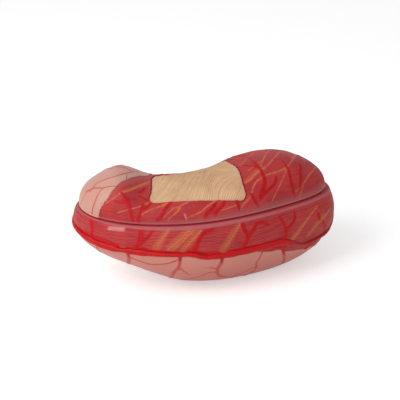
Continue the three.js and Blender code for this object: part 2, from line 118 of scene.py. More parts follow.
# Arteries of the rear half: stations as (place along the outline, depth below the seam), and girth as
# (place, width in shares of the diameter).
EPIPLOIC = SimpleNamespace(
    piece="epiploic_vessel", node="gastroepiploic_artery", size="epiploic_diameter",
    stations=[
        (-0.02, 14), (0.03, 18), (0.13, 24), (0.2, 26), (0.22, 31), (0.3, 31), (0.35, 43), (0.41, 41),
        (0.45, 26),
    ],
    girth=[
        (-0.02, 0.7), (0.03, 0.9), (0.06, 1.1), (0.08, 1.5), (0.11, 1.4), (0.125, 0.9), (0.14, 1.4),
        (0.16, 1.2), (0.19, 0.9), (0.215, 1.0), (0.25, 1.4), (0.29, 1.5), (0.32, 1.5), (0.335, 0.75),
        (0.37, 0.7), (0.41, 0.8), (0.45, 0.6),
    ],
)
GASTRIC = SimpleNamespace(
    piece="gastric_vessel", node="gastric_artery", size="gastric_diameter",
    stations=[(0.645, 19), (0.7, 14), (0.78, 16), (0.84, 13), (0.875, 18)],
    girth=[(0.645, 1), (0.76, 1.1), (0.875, 0.8)],
)
ARTERY_STAND = 0.55  # the share of an artery's height that stands out
ARTERY_PROBE = 0.4  # how far out the line lies that gives an artery its upright
GROOVE_SPARE = 0.12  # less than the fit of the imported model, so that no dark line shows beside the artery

# Painted strokes: widths at both ends, then points (x, y, height over the seam).
FRONT_VESSELS = [
    (3.4, 4.6, (-73, -28, 25), (-71, -31, 23), (-69, -35, 20)),
    (5.0, 2.8, (-69, -35, 20), (-67, -38, 17), (-65, -43, 8), (-64, -44, 4)),
    (2.6, 5.0, (-80, -33, 20), (-75, -35, 20), (-69, -35, 20)),
    (3.0, 1.8, (-69, -34, 21), (-66, -34, 22)),
    (4, 2.8, (-59, -45, 4), (-58, -44, 10), (-56, -41, 14), (-54, -38, 17)),
    (2.8, 2, (-53, -41, 14), (-49, -38, 16), (-47, -35, 18)),
    (2.4, 2.8, (-57, -29, 22), (-54, -30, 21), (-51, -32, 20)),
    (4, 2.8, (-56, -23, 24), (-54, -19, 24), (-52, -14, 24)),
    (4.4, 4, (-41, -48, 6), (-38, -47, 9), (-35, -44, 13), (-29, -39, 18)),
    (3.4, 4.6, (12, -42, 16), (8, -45, 12), (4, -47, 9), (2, -48, 5)),
    (3.4, 4.2, (21, -39, 17), (18, -42, 13), (13, -45, 10), (11, -46, 6)),
    (3.6, 2.8, (32, -37, 15), (34, -40, 8)),
    (2.4, 5.4, (47, 16, 36), (52, 0, 36), (57, -12, 33), (59, -21, 26), (57, -25, 21), (55, -30, 15)),
    (2.4, 2.8, (40, 2, 34), (46, -2, 35), (51, -4, 35), (56, -9, 34)),
    (2.8, 4, (70, -15, 27), (69, -19, 24), (65, -23, 21), (57, -28, 16)),
    (2.4, 4, (76, 8, 37), (82, -5, 31), (85, -14, 19), (87, -16, 7)),
    (4.4, 3.2, (95, 7, 30), (94, -2, 25), (93, -11, 14)),
    (3.4, 2.6, (46, -31, 18), (49, -33, 12), (52, -33, 6)),
    (4.2, 2.6, (101, 46, 8), (92, 44, 20), (82, 38, 31), (72, 34, 37)),
    (3.2, 1.8, (92, 44, 20), (96, 34, 26), (94, 26, 30)),
    (4, 2.4, (30, 46, 6), (32, 38, 20), (38, 30, 31), (46, 24, 37)),
    (2.8, 1.8, (32, 38, 20), (24, 32, 24)),
    (3.4, 2, (2, 31, 6), (0, 24, 18), (-8, 18, 24)),
    (3.2, 1.8, (-30, 22, 5), (-34, 18, 17), (-40, 12, 24)),
    (3.6, 2, (114, 14, 5), (108, 20, 16), (102, 26, 22)),
]
FRONT_NERVES = [
    (1.4, 2.6, (-89, -29, 16), (-81, -30, 22), (-75, -28, 25), (-65, -24, 27), (-57, -14, 26),
     (-49, -2, 24)),
    (1.2, 1.4, (-78, -38, 10), (-70, -40, 13), (-57, -39, 16), (-47, -34, 18)),
    (1.2, 2, (-55, -44, 10), (-47, -42, 14), (-38, -40, 16), (-31, -38, 18)),
    (2, 1.2, (-13, -41, 19), (-19, -43, 17), (-22, -46, 13), (-31, -49, 6)),
    (1.2, 1, (-20, -43, 16), (-26, -44, 15), (-30, -46, 12), (-35, -48, 8)),
    (2, 1.2, (12, -40, 18), (5, -44, 15), (-1, -47, 11), (-12, -49, 7)),
    (1.2, 1, (32, -39, 12), (25, -42, 11), (18, -44, 10)),
    (1.8, 1.4, (42, -34, 15), (39, -37, 13), (36, -39, 8)),
    (2.6, 1.4, (41, -23, 28), (47, -19, 29), (52, -13, 32), (60, -7, 35), (66, 0, 37), (72, 12, 38),
     (79, 30, 35)),
    (1.4, 2, (66, 27, 37), (61, 11, 38), (56, -7, 35)),
    (1.4, 2, (95, 36, 28), (88, 10, 34), (82, -2, 32), (74, -9, 31), (61, -15, 30), (53, -20, 28)),
    (2, 1.4, (53, -20, 28), (49, -25, 25), (45, -32, 17), (38, -38, 10)),
    (1.4, 1, (82, -2, 32), (78, -12, 27), (71, -22, 17), (66, -27, 9)),
    (2, 1.2, (112, 22, 20), (103, 1, 21), (98, -7, 17), (87, -15, 10)),
    (1.2, 1, (97, -7, 16), (95, -11, 10), (92, -13, 4)),
    (1.2, 1, (52, 28, 35), (44, 14, 35), (38, 2, 34)),
    (1.6, 1.2, (45, -9, 33), (51, -3, 36), (58, 3, 37)),
    (1.4, 1, (88, 50, 15), (76, 46, 28), (60, 40, 36), (48, 30, 38)),
    (1.2, 1, (20, 42, 6), (26, 34, 22), (36, 22, 34)),
    (1.2, 1, (-16, 26, 5), (-18, 20, 18), (-26, 13, 25)),
    (1.2, 1, (120, 26, 8), (110, 32, 18), (98, 34, 25), (84, 28, 33)),
]
FRONT_STAINS = [
    (3.0, 4.5, (42, -21, 29), (51, -13, 32), (59, -8, 34)),
    (2.4, 3.4, (-75, -28, 25), (-62, -20, 27), (-50, -6, 24)),
    (3.0, 2.0, (95, 34, 28), (88, 14, 34)),
    (2.0, 2.0, (-36, -41, 16), (-31, -38, 18)),
]
FRONT_VEINS = [
    (1.7, 1.0, (-81, 14, 34), (-70, 12, 33), (-66, 9, 31), (-59, 12, 27)),
    (1.3, 1.6, (-104, -9, 20), (-97, -5, 26), (-89, -6, 30), (-79, -7, 33), (-68, 2, 32), (-65, 5, 31)),
    (1.5, 1.1, (-108, -5, 18), (-100, -9, 23), (-91, -16, 26), (-85, -18, 28), (-78, -21, 29)),
    (1.2, 1.7, (-91, -16, 26), (-95, -18, 22), (-100, -22, 14), (-103, -22, 3)),
    (1.1, 0.9, (-107, -5, 19), (-111, -6, 12), (-115, -4, 4)),
    (1.0, 0.8, (-69, -3, 32), (-69, -10, 31)),
    (1.8, 0.8, (-104, 35, 5), (-98, 30, 18), (-90, 22, 30), (-84, 12, 35)),
    (1.2, 0.7, (-98, 30, 18), (-108, 18, 18), (-112, 8, 16)),
    (1.4, 0.7, (-72, 30, 6), (-74, 24, 20), (-78, 16, 31)),
]
FRONT_SCUFFS = [(1.4, 1.0, (-16, -48, 9), (-15, -49, 6))]
REAR_VESSELS = [
    (5, 4.4, (-104, -27, -2), (-104, -31, -9), (-107, -28, -20)),
    (5, 5, (-57, -50, -1), (-58, -53, -9), (-62, -53, -20)),
    (3.6, 3.6, (-46, -52, -2), (-51, -54, -8), (-59, -54, -16)),
    (5.4, 3.4, (-10, -59, -23), (-8, -59, -19), (-4, -57, -12), (0, -55, -7), (8, -53, -4)),
    (4, 4.4, (36, -45, -4), (38, -47, -10), (41, -47, -16), (39, -49, -21), (35, -50, -28)),
    (4.4, 3.4, (41, -47, -16), (46, -44, -12), (49, -41, -7), (54, -39, -7), (60, -38, -10)),
    (2.8, 4.6, (71, -31, -6), (74, -31, -11), (77, -32, -19), (77, -32, -27), (73, -33, -36)),
    (4, 3.2, (78, -31, -20), (83, -28, -16), (86, -26, -13), (86, -23, -6)),
    (3.2, 4.4, (115, -8, -25), (118, -4, -35), (112, -4, -45), (98, -13, -50)),
    (3.6, 4, (110, -11, -15), (111, -11, -20)),
    (2.8, 1.4, (-71, -50, -25), (-70, -48, -30)),
    (2.8, 1.4, (-22, -59, -27), (-23, -58, -32)),
    (2.8, 1.2, (16, -55, -33), (15, -54, -38)),
    (2.4, 1.2, (74, -31, -42), (75, -28, -47)),
    (4.4, 2.6, (121, 22, -30), (124, 30, -18), (122, 38, -6)),
    (4, 2.4, (100, 58, -30), (104, 56, -16), (100, 58, -5)),
    (3.4, 2, (104, 56, -16), (112, 48, -12), (114, 44, -5)),
    (4.2, 2.4, (76, 70, -26), (72, 72, -14), (76, 70, -4)),
    (3.6, 2.4, (18, 46, -14), (14, 42, -7), (8, 38, -3)),
    (3.6, 2.4, (-14, 34, -15), (-18, 32, -8), (-16, 32, -3)),
    (3.6, 2.4, (-44, 32, -13), (-48, 32, -7), (-54, 34, -3)),
    (3.4, 2.4, (-112, 38, -14), (-108, 42, -8), (-104, 44, -3)),
]
REAR_NERVES = [
    (1.2, 1.2, (-31, -54, -2), (-37, -56, -9), (-43, -57, -17)),
    (1.4, 1.2, (-8, -55, -3), (-16, -58, -10), (-27, -59, -20)),
    (1.2, 1.2, (-13, -55, -3), (-22, -58, -11), (-33, -59, -20)),
    (1.4, 1.2, (-2, -55, -4), (-9, -57, -11), (-19, -59, -21)),
    (1.2, 1.2, (34, -46, -4), (28, -50, -12), (18, -55, -24)),
    (1.6, 2.4, (109, -10, -8), (101, -17, -14), (95, -22, -20), (82, -29, -34)),
    (2.4, 1.2, (123, 2, -16), (117, -6, -20), (109, -13, -25), (100, -19, -33)),
    (1.4, 1, (118, 44, -8), (112, 50, -22), (98, 60, -34)),
    (1.4, 1, (88, 66, -5), (84, 68, -20), (70, 72, -34)),
    (1.4, 1, (-2, 36, -4), (-8, 36, -14), (-22, 34, -22)),
    (1.4, 1, (-66, 38, -5), (-60, 38, -14), (-50, 36, -22)),
]
REAR_STAINS = [
    (3.0, 7.0, (-32, -54, -2), (-36, -56, -7), (-44, -57, -19)),
    (6.0, 8.0, (-12, -55, -4), (-20, -57, -9), (-31, -59, -19)),
    (5.0, 5.0, (-4, -55, -5), (-11, -57, -12), (-20, -59, -21)),
    (4.0, 7.0, (33, -46, -5), (28, -50, -10), (17, -55, -25)),
    (1.0, 6.0, (101, -17, -14), (92, -24, -23), (82, -29, -34)),
    (6.0, 4.0, (116, -7, -20), (109, -13, -25), (100, -19, -33)),
]
REAR_VEINS = [
    (4.2, 3.2, (-71, -50, -25), (-70, -47, -31), (-71, -40, -40), (-73, -28, -50)),
    (1.9, 1.7, (-69, -48, -31), (-60, -49, -35), (-51, -51, -38), (-42, -54, -37), (-34, -56, -35),
     (-22, -59, -30)),
    (3.0, 3.6, (-22, -59, -27), (-23, -58, -34), (-25, -55, -41), (-29, -51, -47), (-32, -40, -58),
     (-34, -28, -64)),
    (1.9, 1.1, (-24, -56, -40), (-20, -53, -46), (-15, -50, -51)),
    (4.0, 3.0, (16, -55, -33), (15, -54, -39), (12, -52, -45), (11, -49, -51), (13, -41, -61)),
    (1.8, 1.0, (11, -51, -46), (7, -53, -44), (2, -54, -43)),
    (2.2, 1.2, (11, -49, -51), (4, -50, -50), (-5, -47, -55), (-15, -43, -60), (-24, -36, -64)),
    (2.6, 1.6, (12, -45, -56), (19, -38, -63), (26, -35, -64), (32, -36, -61)),
    (1.8, 2.2, (54, -42, -36), (51, -41, -43), (48, -39, -49), (48, -34, -57), (44, -30, -63),
     (36, -20, -69)),
    (1.7, 1.1, (48, -36, -55), (41, -37, -57), (32, -33, -64)),
    (3.6, 2.2, (74, -31, -42), (75, -25, -51), (75, -16, -63)),
    (1.9, 1.1, (-96, -26, -24), (-95, -16, -36), (-90, -4, -46)),
    (1.7, 1.0, (-95, -16, -36), (-104, -6, -38), (-108, 6, -38)),
    (2.2, 1.1, (108, 4, -54), (98, 10, -64), (86, 12, -71)),
    (2.2, 1.1, (112, 40, -48), (102, 44, -60), (88, 40, -70)),
    (1.7, 1.0, (102, 44, -60), (92, 54, -60), (80, 60, -58)),
    (2.4, 1.2, (66, 70, -40), (60, 66, -52), (52, 56, -64), (46, 44, -72)),
    (1.7, 1.0, (60, 66, -52), (48, 62, -52), (38, 54, -54)),
    (2.4, 1.2, (14, 46, -30), (10, 40, -44), (4, 32, -58), (0, 22, -66)),
    (1.7, 1.0, (10, 40, -44), (-2, 38, -46), (-12, 34, -48)),
    (2.2, 1.1, (-40, 33, -26), (-44, 30, -40), (-48, 22, -52)),
    (1.7, 1.0, (-44, 30, -40), (-56, 28, -42), (-64, 26, -44)),
    (1.9, 1.0, (-96, 42, -24), (-94, 36, -38), (-88, 26, -48)),
]
# A pale painted highlight on the rear rim, laid as a stroke.
REAR_PAINTED_HIGHLIGHTS = [(3.2, 3.6, (-87, -41, -4), (-80, -44, -3), (-74, -46, -3))]
REAR_SMEARS = [  # paint along the artery, which lies flat
    (4.0, 6.4, (-121, -8, -15), (-112, -23, -16), (-104, -32, -17)),
    (6.4, 5.6, (-104, -32, -17), (-92, -41, -18), (-81, -46, -20)),
    (6.0, 6.8, (-70, -50, -22), (-62, -53, -22), (-54, -55, -22)),
    (4.0, 3.4, (-54, -55, -22), (-40, -58, -23), (-23, -59, -25)),
    (6.0, 8.4, (-14, -59, -24), (0, -58, -28), (12, -56, -30)),
    (7.0, 7.4, (24, -53, -30), (47, -46, -30), (66, -38, -33), (76, -32, -36)),
]
FRONT.strokes = {
    "bead": FRONT_VESSELS, "vessel": FRONT_VESSELS, "nerve": FRONT_NERVES,
    "vein": FRONT_VEINS, "stain": FRONT_STAINS, "scuff_and_highlight": FRONT_SCUFFS,
}
REAR.strokes = {
    "bead": REAR_VESSELS, "vessel": REAR_VESSELS + REAR_SMEARS, "nerve": REAR_NERVES,
    "vein": REAR_VEINS, "stain": REAR_STAINS, "scuff_and_highlight": REAR_PAINTED_HIGHLIGHTS,
}
STROKE_STEP = 1.5
FAR = 99.0  # the distance that stands for out of reach of every stroke
REACH = 9.0  # how far from a stroke its distance is worked out
RIM_BAND = (1.6, 3.9)  # width of the smooth band under the seam, at the pylorus and from the body on
RIM_BAND_SPAN = (-112, -10)

# Fineness of the surfaces.
SHELL_COLUMNS = 600
SHELL_ROWS = 138
ROUND_LEVELS = np.array([0, 0.04, 0.13, 0.28, 0.5, 0.75])  # rows in the rounding of a rim, as shares of it
HOLLOW_SIZE = (160, 26)
LINING_SIZE = (200, 40)
FOLD_SIZE = (260, 230)
PANEL_RINGS = 90
RECESS_RINGS = 40
ARTERY_STEPS = 460
ARTERY_FACETS = 28
TUBE_STEPS = 24
TUBE_FACETS = 72
BORE_FACETS = 32
FITTING_FACETS = 48
EDGE_STEPS = 8
SEROSA_STEPS = 80
WINDOW_STEPS = 300

# Counts of the tables that lengths and nearest points are read from.
RUN_PLACES = 240
RUN_ANGLES = 90
NET_PLACES = 480
NET_ANGLES = 120
NEAR_RIM = 1.6  # the power that draws their angles towards the rim
FINE_STEPS = 4000
MEASURED_PLACE = 0.2  # the place of the section that spaces the rows of a half
HALVINGS = 30
BLOCK_SIDE, BLOCK_HEIGHT = 200.0, 300.0


def colour(red, green, blue):
    """The linear colour of a paint that is given as it looks, in parts of 255."""
    seen = np.array((red, green, blue)) / 255
    return tuple(np.where(seen < 0.04045, seen / 12.92, ((seen + 0.055) / 1.055) ** 2.4))


def smooth(low, high, x):
    """0 below low, 1 above high, and 3t^2 - 2t^3 between them."""
    t = np.clip((x - low) / (high - low), 0, 1)
    return t * t * (3 - 2 * t)


def ease(stations, x):
    """Eases between (x, value) stations with 3t^2 - 2t^3, level before the first and after the last."""
    at, value = np.array(stations, float).T
    step = np.clip(np.searchsorted(at, x, side="right") - 1, 0, len(at) - 2)
    t = np.clip((x - at[step]) / (at[step + 1] - at[step]), 0, 1)
    return value[step] + (value[step + 1] - value[step]) * t * t * (3 - 2 * t)


def length_of(vectors):
    return np.linalg.norm(vectors, axis=-1)


def unit(vectors):
    return vectors / np.maximum(length_of(vectors), 1e-9)[..., None]


def run_along(points, axis=0):
    """The length along a line of points, from 0 at the first."""
    return np.insert(np.cumsum(length_of(np.diff(points, axis=axis)), axis), 0, 0, axis)


def waves(points, period, seed):
    """A gentle hand-made unevenness, -1 to 1: the mean of five sine waves that cross at seeded angles."""
    dice = np.random.default_rng(seed)
    directions = unit(dice.normal(size=(5, 3)))
    phases = dice.uniform(0, 2 * np.pi, 5)
    periods = period * dice.uniform(0.7, 1.4, 5)
    return np.sin(points @ directions.T * (2 * np.pi / periods) + phases).mean(-1) * 1.6


def curve_through(points, count, closed=False):
    """A centripetal Catmull-Rom curve through the points, evaluated at count even steps of its parameter."""
    points = np.array(points, float)
    if closed:
        padded = np.concatenate([points[-1:], points, points[:2]])
        spans = len(points)
    else:
        padded = np.concatenate([[2 * points[0] - points[1]], points, [2 * points[-1] - points[-2]]])
        spans = len(points) - 1
    t = np.linspace(0, spans, count, endpoint=not closed)
    i = np.minimum(t.astype(int), spans - 1)
    f = (t - i)[:, None]
    p0, p1, p2, p3 = (padded[i + k] for k in range(4))
    pairs = (p0, p1), (p1, p2), (p2, p3)
    d0, d1, d2 = (np.maximum(length_of(b - a), 1e-6)[:, None] ** 0.5 for a, b in pairs)
    m1 = ((p1 - p0) / d0 - (p2 - p0) / (d0 + d1) + (p2 - p1) / d1) * d1
    m2 = ((p2 - p1) / d1 - (p3 - p1) / (d1 + d2) + (p3 - p2) / d2) * d1
    return p1 + m1 * f + (3 * (p2 - p1) - 2 * m1 - m2) * f**2 + (2 * (p1 - p2) + m1 + m2) * f**3


def outline_at(place):
    """The seam's outline, a closed uniform cubic B-spline: its point at a place and its outward normal."""
    t = np.mod(place, 1) * len(OUTLINE)
    i = np.floor(t).astype(int)
    f = (t - i)[..., None]
    around = OUTLINE[(i[..., None] + np.arange(-1, 3)) % len(OUTLINE)]
    weights = [(1 - f) ** 3, 3 * f**3 - 6 * f**2 + 4, -3 * f**3 + 3 * f**2 + 3 * f + 1, f**3]
    slopes = [-((1 - f) ** 2), 3 * f**2 - 4 * f, -3 * f**2 + 2 * f + 1, f**2]
    point = (around * (np.stack(weights, -2) / 6)).sum(-2)
    along = unit((around * np.stack(slopes, -2)).sum(-2))
    return point, np.stack([along[..., 1], -along[..., 0]], -1)


PLACES = np.linspace(0, 1, 2001)
RIM, RIM_NORMALS = outline_at(PLACES)


def towards(plan, out=0):
    """Where a ray from the origin through each plan point meets the moved outline: place and distance."""
    rim = RIM + RIM_NORMALS * out
    turns = np.unwrap(np.arctan2(rim[:, 1], rim[:, 0]))
    turn = turns[0] + np.mod(np.arctan2(plan[..., 1], plan[..., 0]) - turns[0], 2 * np.pi)
    return np.interp(turn, turns, PLACES), np.interp(turn, turns, length_of(rim))


def bend(share, e):
    """(1 - share^e)^(1/e): the rise at a spread, or the spread at a rise."""
    return np.maximum(0, 1 - np.minimum(share, 1) ** e) ** (1 / e)


def swell(half, rise):
    """How far a half's bulge stands out: nothing at the rim and in the middle, and most between them."""
    return half.bulge * np.sin(np.pi * rise**BULGE_PEAK)


def surface(half, place, spread, inset):
    """A point of a half, inset inside its outer surface.

    In plan it is spread, 1 at the rim and 0 at the origin, times the outline point that the rim's lip and
    the bulge move out; its height is the half's reach at that x times the rise, cut off at the floor.
    """
    place, spread, inset = np.broadcast_arrays(place, spread, inset)
    point, outward = outline_at(place)
    rise = bend(spread, ease(half.fullness, point[..., 0]))
    plan = (point + outward * (half.lip + swell(half, rise) - inset)[..., None]) * spread[..., None]
    height = np.minimum((ease(half.reach, plan[..., 0]) - inset) * rise, half.floor - inset)
    return np.concatenate([plan, (SEAM + half.way * height)[..., None]], -1)


def at_angle(half, place, angle, inset=0):
    """A point of a half from its section angle: spread is cos(angle)^(2/e)."""
    e = ease(half.fullness, outline_at(place)[0][..., 0])
    return surface(half, place, np.maximum(np.cos(angle), 0) ** (2 / e), inset)


def even_angles(half, marks):
    """Section angles that lie at the given shares of the way from rim to middle along one section."""
    fine = np.linspace(0, 1, FINE_STEPS) ** 2 * np.pi / 2
    run = run_along(at_angle(half, np.full(FINE_STEPS, MEASURED_PLACE), fine))
    return np.interp(marks, run / run[-1], fine)


def table_angles(count):
    """Section angles from rim to middle, closer together near the rim."""
    return np.linspace(0, 1, count) ** NEAR_RIM * np.pi / 2


def section_place(half, points):
    """Where points lie on a half: their place, and the angle whose tangent is (rise / spread)^(e/2)."""
    place, _ = towards(points)
    point, outward = outline_at(place)
    e = ease(half.fullness, point[..., 0])
    rise = np.clip(half.way * (points[..., 2] - SEAM) / ease(half.reach, points[..., 0]), 0, 1)
    rim = length_of(point + outward * (half.lip + swell(half, rise))[..., None])
    spread = np.clip(length_of(points[..., :2]) / rim, 0, 1)
    return place, np.arctan2(rise ** (e / 2), spread ** (e / 2))


def run_from_rim(half, points):
    """The length in mm along the section from the rim to each point, from a table over places and angles."""
    places = np.linspace(0, 1, RUN_PLACES + 1)
    angles = table_angles(RUN_ANGLES)
    runs = run_along(at_angle(half, places[:, None], angles[None, :]), 1)
    place, angle = section_place(half, points)
    column = np.clip(place * RUN_PLACES, 0, RUN_PLACES - 0.001)
    row = np.interp(angle, angles, np.arange(float(RUN_ANGLES)))
    i, j = column.astype(int), np.minimum(row.astype(int), RUN_ANGLES - 2)
    a, b = column - i, row - j
    low, high = (runs[i, k] * (1 - a) + runs[i + 1, k] * a for k in (j, j + 1))
    return low * (1 - b) + high * b


def surface_net(half):
    """A net of points over a half with their outward normals, worked out once."""
    if not hasattr(half, "net"):
        places = np.arange(NET_PLACES) / NET_PLACES
        points = at_angle(half, places[None, :], table_angles(NET_ANGLES)[:-1, None])
        half.net = points.reshape(-1, 3), grid_normals(points).reshape(-1, 3)
    return half.net


def on_surface(half, points):
    """Moves points to the nearest place on a half: along the normal of the nearest point of its net."""
    net, normals = surface_net(half)
    nearest = np.array([((net - point) ** 2).sum(1).argmin() for point in points])
    gap = points - net[nearest]
    return points - normals[nearest] * (gap * normals[nearest]).sum(1, keepdims=True)


def at_depth(half, place, depth, inset):
    """The points of a half at the given places and heights from the seam, found by halving the spread."""
    low, high = np.zeros_like(place), np.ones_like(place)
    for _ in range(HALVINGS):
        spread = (low + high) / 2
        deeper = half.way * (surface(half, place, spread, inset)[..., 2] - SEAM) > depth
        low, high = np.where(deeper, spread, low), np.where(deeper, high, spread)
    return surface(half, place, (low + high) / 2, inset)


def height_over(half, plan, inset):
    """The z of a half's surface over plan points: the direction gives the place, the distance the spread."""
    place, rim = towards(plan, half.lip - inset)
    return surface(half, place, np.minimum(length_of(plan) / rim, 1), inset)[..., 2]


def line_on(half, points, count=None):
    """Points over the seam as a smooth line on a half, with count points or one about every STROKE_STEP."""
    points = np.array(points, float) + (0, 0, SEAM)
    count = count or max(6, int(length_of(np.diff(points, axis=0)).sum() / STROKE_STEP))
    return on_surface(half, curve_through(points, count))


def offsets(points, line):
    """For each point and segment of a line: the way from the segment to the point, and where it starts."""
    along = np.diff(line, axis=0)
    gap = points[:, None] - line[:-1]
    share = np.clip((gap * along).sum(-1) / np.maximum((along**2).sum(-1), 1e-9), 0, 1)
    return gap - along * share[..., None], share


def stroke_field(points, normals, half, strokes):
    """For each point: its signed distance across the nearest stroke, its distance, and the half width.

    Distances are measured in the surface, so the part along the normal is taken out of them. The nearest
    stroke is the one whose edge is nearest, and the side comes from the stroke's direction and the normal.
    """
    field = np.tile((FAR, FAR, 0.0), (len(points), 1))
    edge = np.full(len(points), FAR)
    for first, last, *route in strokes:
        line = line_on(half, route)
        near = ((points > line.min(0) - REACH) & (points < line.max(0) + REACH)).all(1).nonzero()[0]
        if len(near) == 0:
            continue
        off, share = offsets(points[near], line)
        normal = normals[near, None]
        off = off - normal * (off * normal).sum(-1, keepdims=True)
        share = (np.arange(len(line) - 1) + share) / (len(line) - 1)
        half_width = (first + (last - first) * share) / 2
        distance = length_of(off)
        row, pick = np.arange(len(near)), (distance - half_width).argmin(1)
        side = np.sign((np.cross(np.diff(line, axis=0), normal) * off).sum(-1))[row, pick]
        distance, half_width = distance[row, pick], half_width[row, pick]
        closer = distance - half_width < edge[near]
        into = near[closer]
        edge[into] = (distance - half_width)[closer]
        field[into] = np.stack([distance * side, distance, half_width], -1)[closer]
    return field


def cover_of(points, half):
    """How far inside the serosa's edge each point is, in mm, less than 0 on the bared muscle."""
    if half is REAR:
        return (SEAM - points[:, 2]) - ease(REAR_SEROSA, points[:, 0]) + 0.8 * waves(points, 16, 5)
    line = line_on(half, FRONT_SEROSA, SEROSA_STEPS)
    away = length_of(offsets(points, line)[0]).min(1)
    side = np.sign(np.interp(points[:, 1], line[:, 1], line[:, 0]) - points[:, 0])
    return side * away + 0.5 * waves(points, 12, 6)


def window_loop(inside):
    """The window's edge in plan, moved in by a distance, with the small unevenness of a hand-cut edge."""
    loop = curve_through(WINDOW, WINDOW_STEPS, closed=True)
    along = unit(np.roll(loop, -1, 0) - np.roll(loop, 1, 0))
    across = np.stack([-along[:, 1], along[:, 0]], -1)
    uneven = 0.22 * waves(np.pad(loop, ((0, 0), (0, 1))), 9, 3)
    return loop + across * (inside + uneven)[:, None]


def loop_distance(plan, loop):
    """The distance in plan from each point to a closed loop, FAR at most."""
    best = np.full(len(plan), FAR)
    for ends in zip(loop, np.roll(loop, -1, 0)):
        best = np.minimum(best, length_of(offsets(plan, np.array(ends))[0][:, 0]))
    return best


def artery_line(form, artery, further=0):
    """An artery's centre line: places at an even pace, with the depth eased between its stations."""
    place = np.linspace(artery.stations[0][0], artery.stations[-1][0], ARTERY_STEPS)
    inset = form.layer_step / MM + artery_diameter(form, artery) * (0.5 - ARTERY_STAND) - further
    return at_depth(REAR, place, ease(artery.stations, place), inset)


def artery_diameter(form, artery):
    return getattr(form, artery.size) / MM


def solid(name, grid, low, high, extra=None):
    """A closed mesh from a grid of points in mm: rows that close on themselves, fanned shut at each end.

    Its faces point out, by the sign of its volume. extra holds attributes, one vector per grid point.
    """
    rows, columns = grid.shape[:2]
    points = np.concatenate([grid.reshape(-1, 3), [low, high]]) * MM
    i = np.arange(columns)
    j = (i + 1) % columns
    base = np.arange(rows - 1)[:, None] * columns
    quads = np.stack([base + i, base + j, base + columns + j, base + columns + i], -1).reshape(-1, 4)
    low_end, high_end = np.full(columns, rows * columns), np.full(columns, rows * columns + 1)
    last = (rows - 1) * columns
    fans = np.concatenate([np.stack([low_end, j, i], -1), np.stack([high_end, last + i, last + j], -1)])
    triangles = np.concatenate([quads[:, :3], quads[:, [0, 2, 3]], fans])
    a, b, c = (points[triangles[:, k]] for k in range(3))
    if (a * np.cross(b, c)).sum() < 0:
        quads, fans = quads[:, ::-1], fans[:, ::-1]
    mesh = bpy.data.meshes.new(name)
    mesh.from_pydata(points.tolist(), [], quads.tolist() + fans.tolist())
    for key, values in (extra or {}).items():
        store(mesh, key, np.pad(values.reshape(rows * columns, -1), ((0, 2), (0, 0))))
    piece = bpy.data.objects.new(name, mesh)
    bpy.context.scene.collection.objects.link(piece)
    return piece


def store(mesh, key, values):
    """Writes a vector for each vertex as an attribute that the finishes read."""
    attribute = mesh.attributes.get(key) or mesh.attributes.new(key, "FLOAT_VECTOR", "POINT")
    attribute.data.foreach_set("vector", values.astype(np.float32).ravel())


def vectors_of(items, key):
    """A vector of each item of a mesh, as rows."""
    values = np.zeros(len(items) * 3, np.float32)
    items.foreach_get(key, values)
    return values.reshape(-1, 3).astype(float)


def combine(piece, tool, operation="DIFFERENCE"):
    """Cuts a piece with a tool solid, or joins them, and removes the tool."""
    modifier = piece.modifiers.new(operation, "BOOLEAN")
    modifier.operation = operation
    modifier.solver = "MANIFOLD"
    modifier.object = tool
    evaluated = piece.evaluated_get(bpy.context.evaluated_depsgraph_get())
    mesh = bpy.data.meshes.new_from_object(evaluated)
    mesh.materials.clear()
    piece.modifiers.clear()
    old = piece.data
    piece.data = mesh
    mesh.name = piece.name
    bpy.data.meshes.remove(old)
    bpy.data.meshes.remove(tool.data)
    if not len(mesh.polygons):
        raise RuntimeError(f"{piece.name} came out empty from its {operation.lower()}")


def inner(half):
    """A half without its lip, for what lies inside the shell."""
    return SimpleNamespace(**{**vars(half), "lip": 0})


def dome(name, half, inset, size, overrun):
    """The inner form of a half as a plain solid on the seam plane, which its rim runs past by overrun."""
    columns, rows = size
    half = inner(half)
    place = np.arange(columns) / columns
    angles = even_angles(half, np.linspace(0, 1, rows))[:-1]
    grid = at_angle(half, place[None, :], angles[:, None], inset)
    if overrun:
        grid = np.concatenate([grid[:1] - (0, 0, half.way * overrun), grid])
    return solid(name, grid, (0, 0, SEAM - half.way * overrun), surface(half, 0.0, 0.0, inset))


def block(z, way):
    """A block that fills everything on one side of a level plane."""
    corners = np.array([(-1, -1, 0), (1, -1, 0), (1, 1, 0), (-1, 1, 0)]) * BLOCK_SIDE
    ends = (0, 0, z), (0, 0, z + way * BLOCK_HEIGHT)
    return solid("block", np.stack([corners + end for end in ends]), *ends)


def turned(name, profile, axis, root, facets=TUBE_FACETS):
    """A profile of (radius, distance along the axis) turned about an axis through root."""
    profile = np.array(profile, float)
    axis = unit(np.array(axis, float))
    side = unit(np.cross(axis, (0.0, 0.1, 1.0)))
    up = np.cross(side, axis)
    turn = np.arange(facets) / facets * 2 * np.pi
    ring = np.cos(turn)[:, None] * side + np.sin(turn)[:, None] * up
    grid = root + profile[1:-1, 1, None, None] * axis + profile[1:-1, 0, None, None] * ring
    return solid(name, grid, root + profile[0, 1] * axis, root + profile[-1, 1] * axis)


def rounded_edge(radius, end, edge):
    """A quarter round from the side of a turned piece to its end, as (radius, distance along the axis)."""
    turn = np.linspace(0, math.pi / 2, EDGE_STEPS)
    return np.column_stack([radius - edge * (1 - np.cos(turn)), end - edge * (1 - np.sin(turn))])


def tube_axis(tube):
    """The direction and root of a stub, level in the seam plane."""
    lean = math.radians(tube.lean)
    return np.array((-math.sin(lean), math.cos(lean), 0)), np.array((tube.x, tube.root, SEAM))


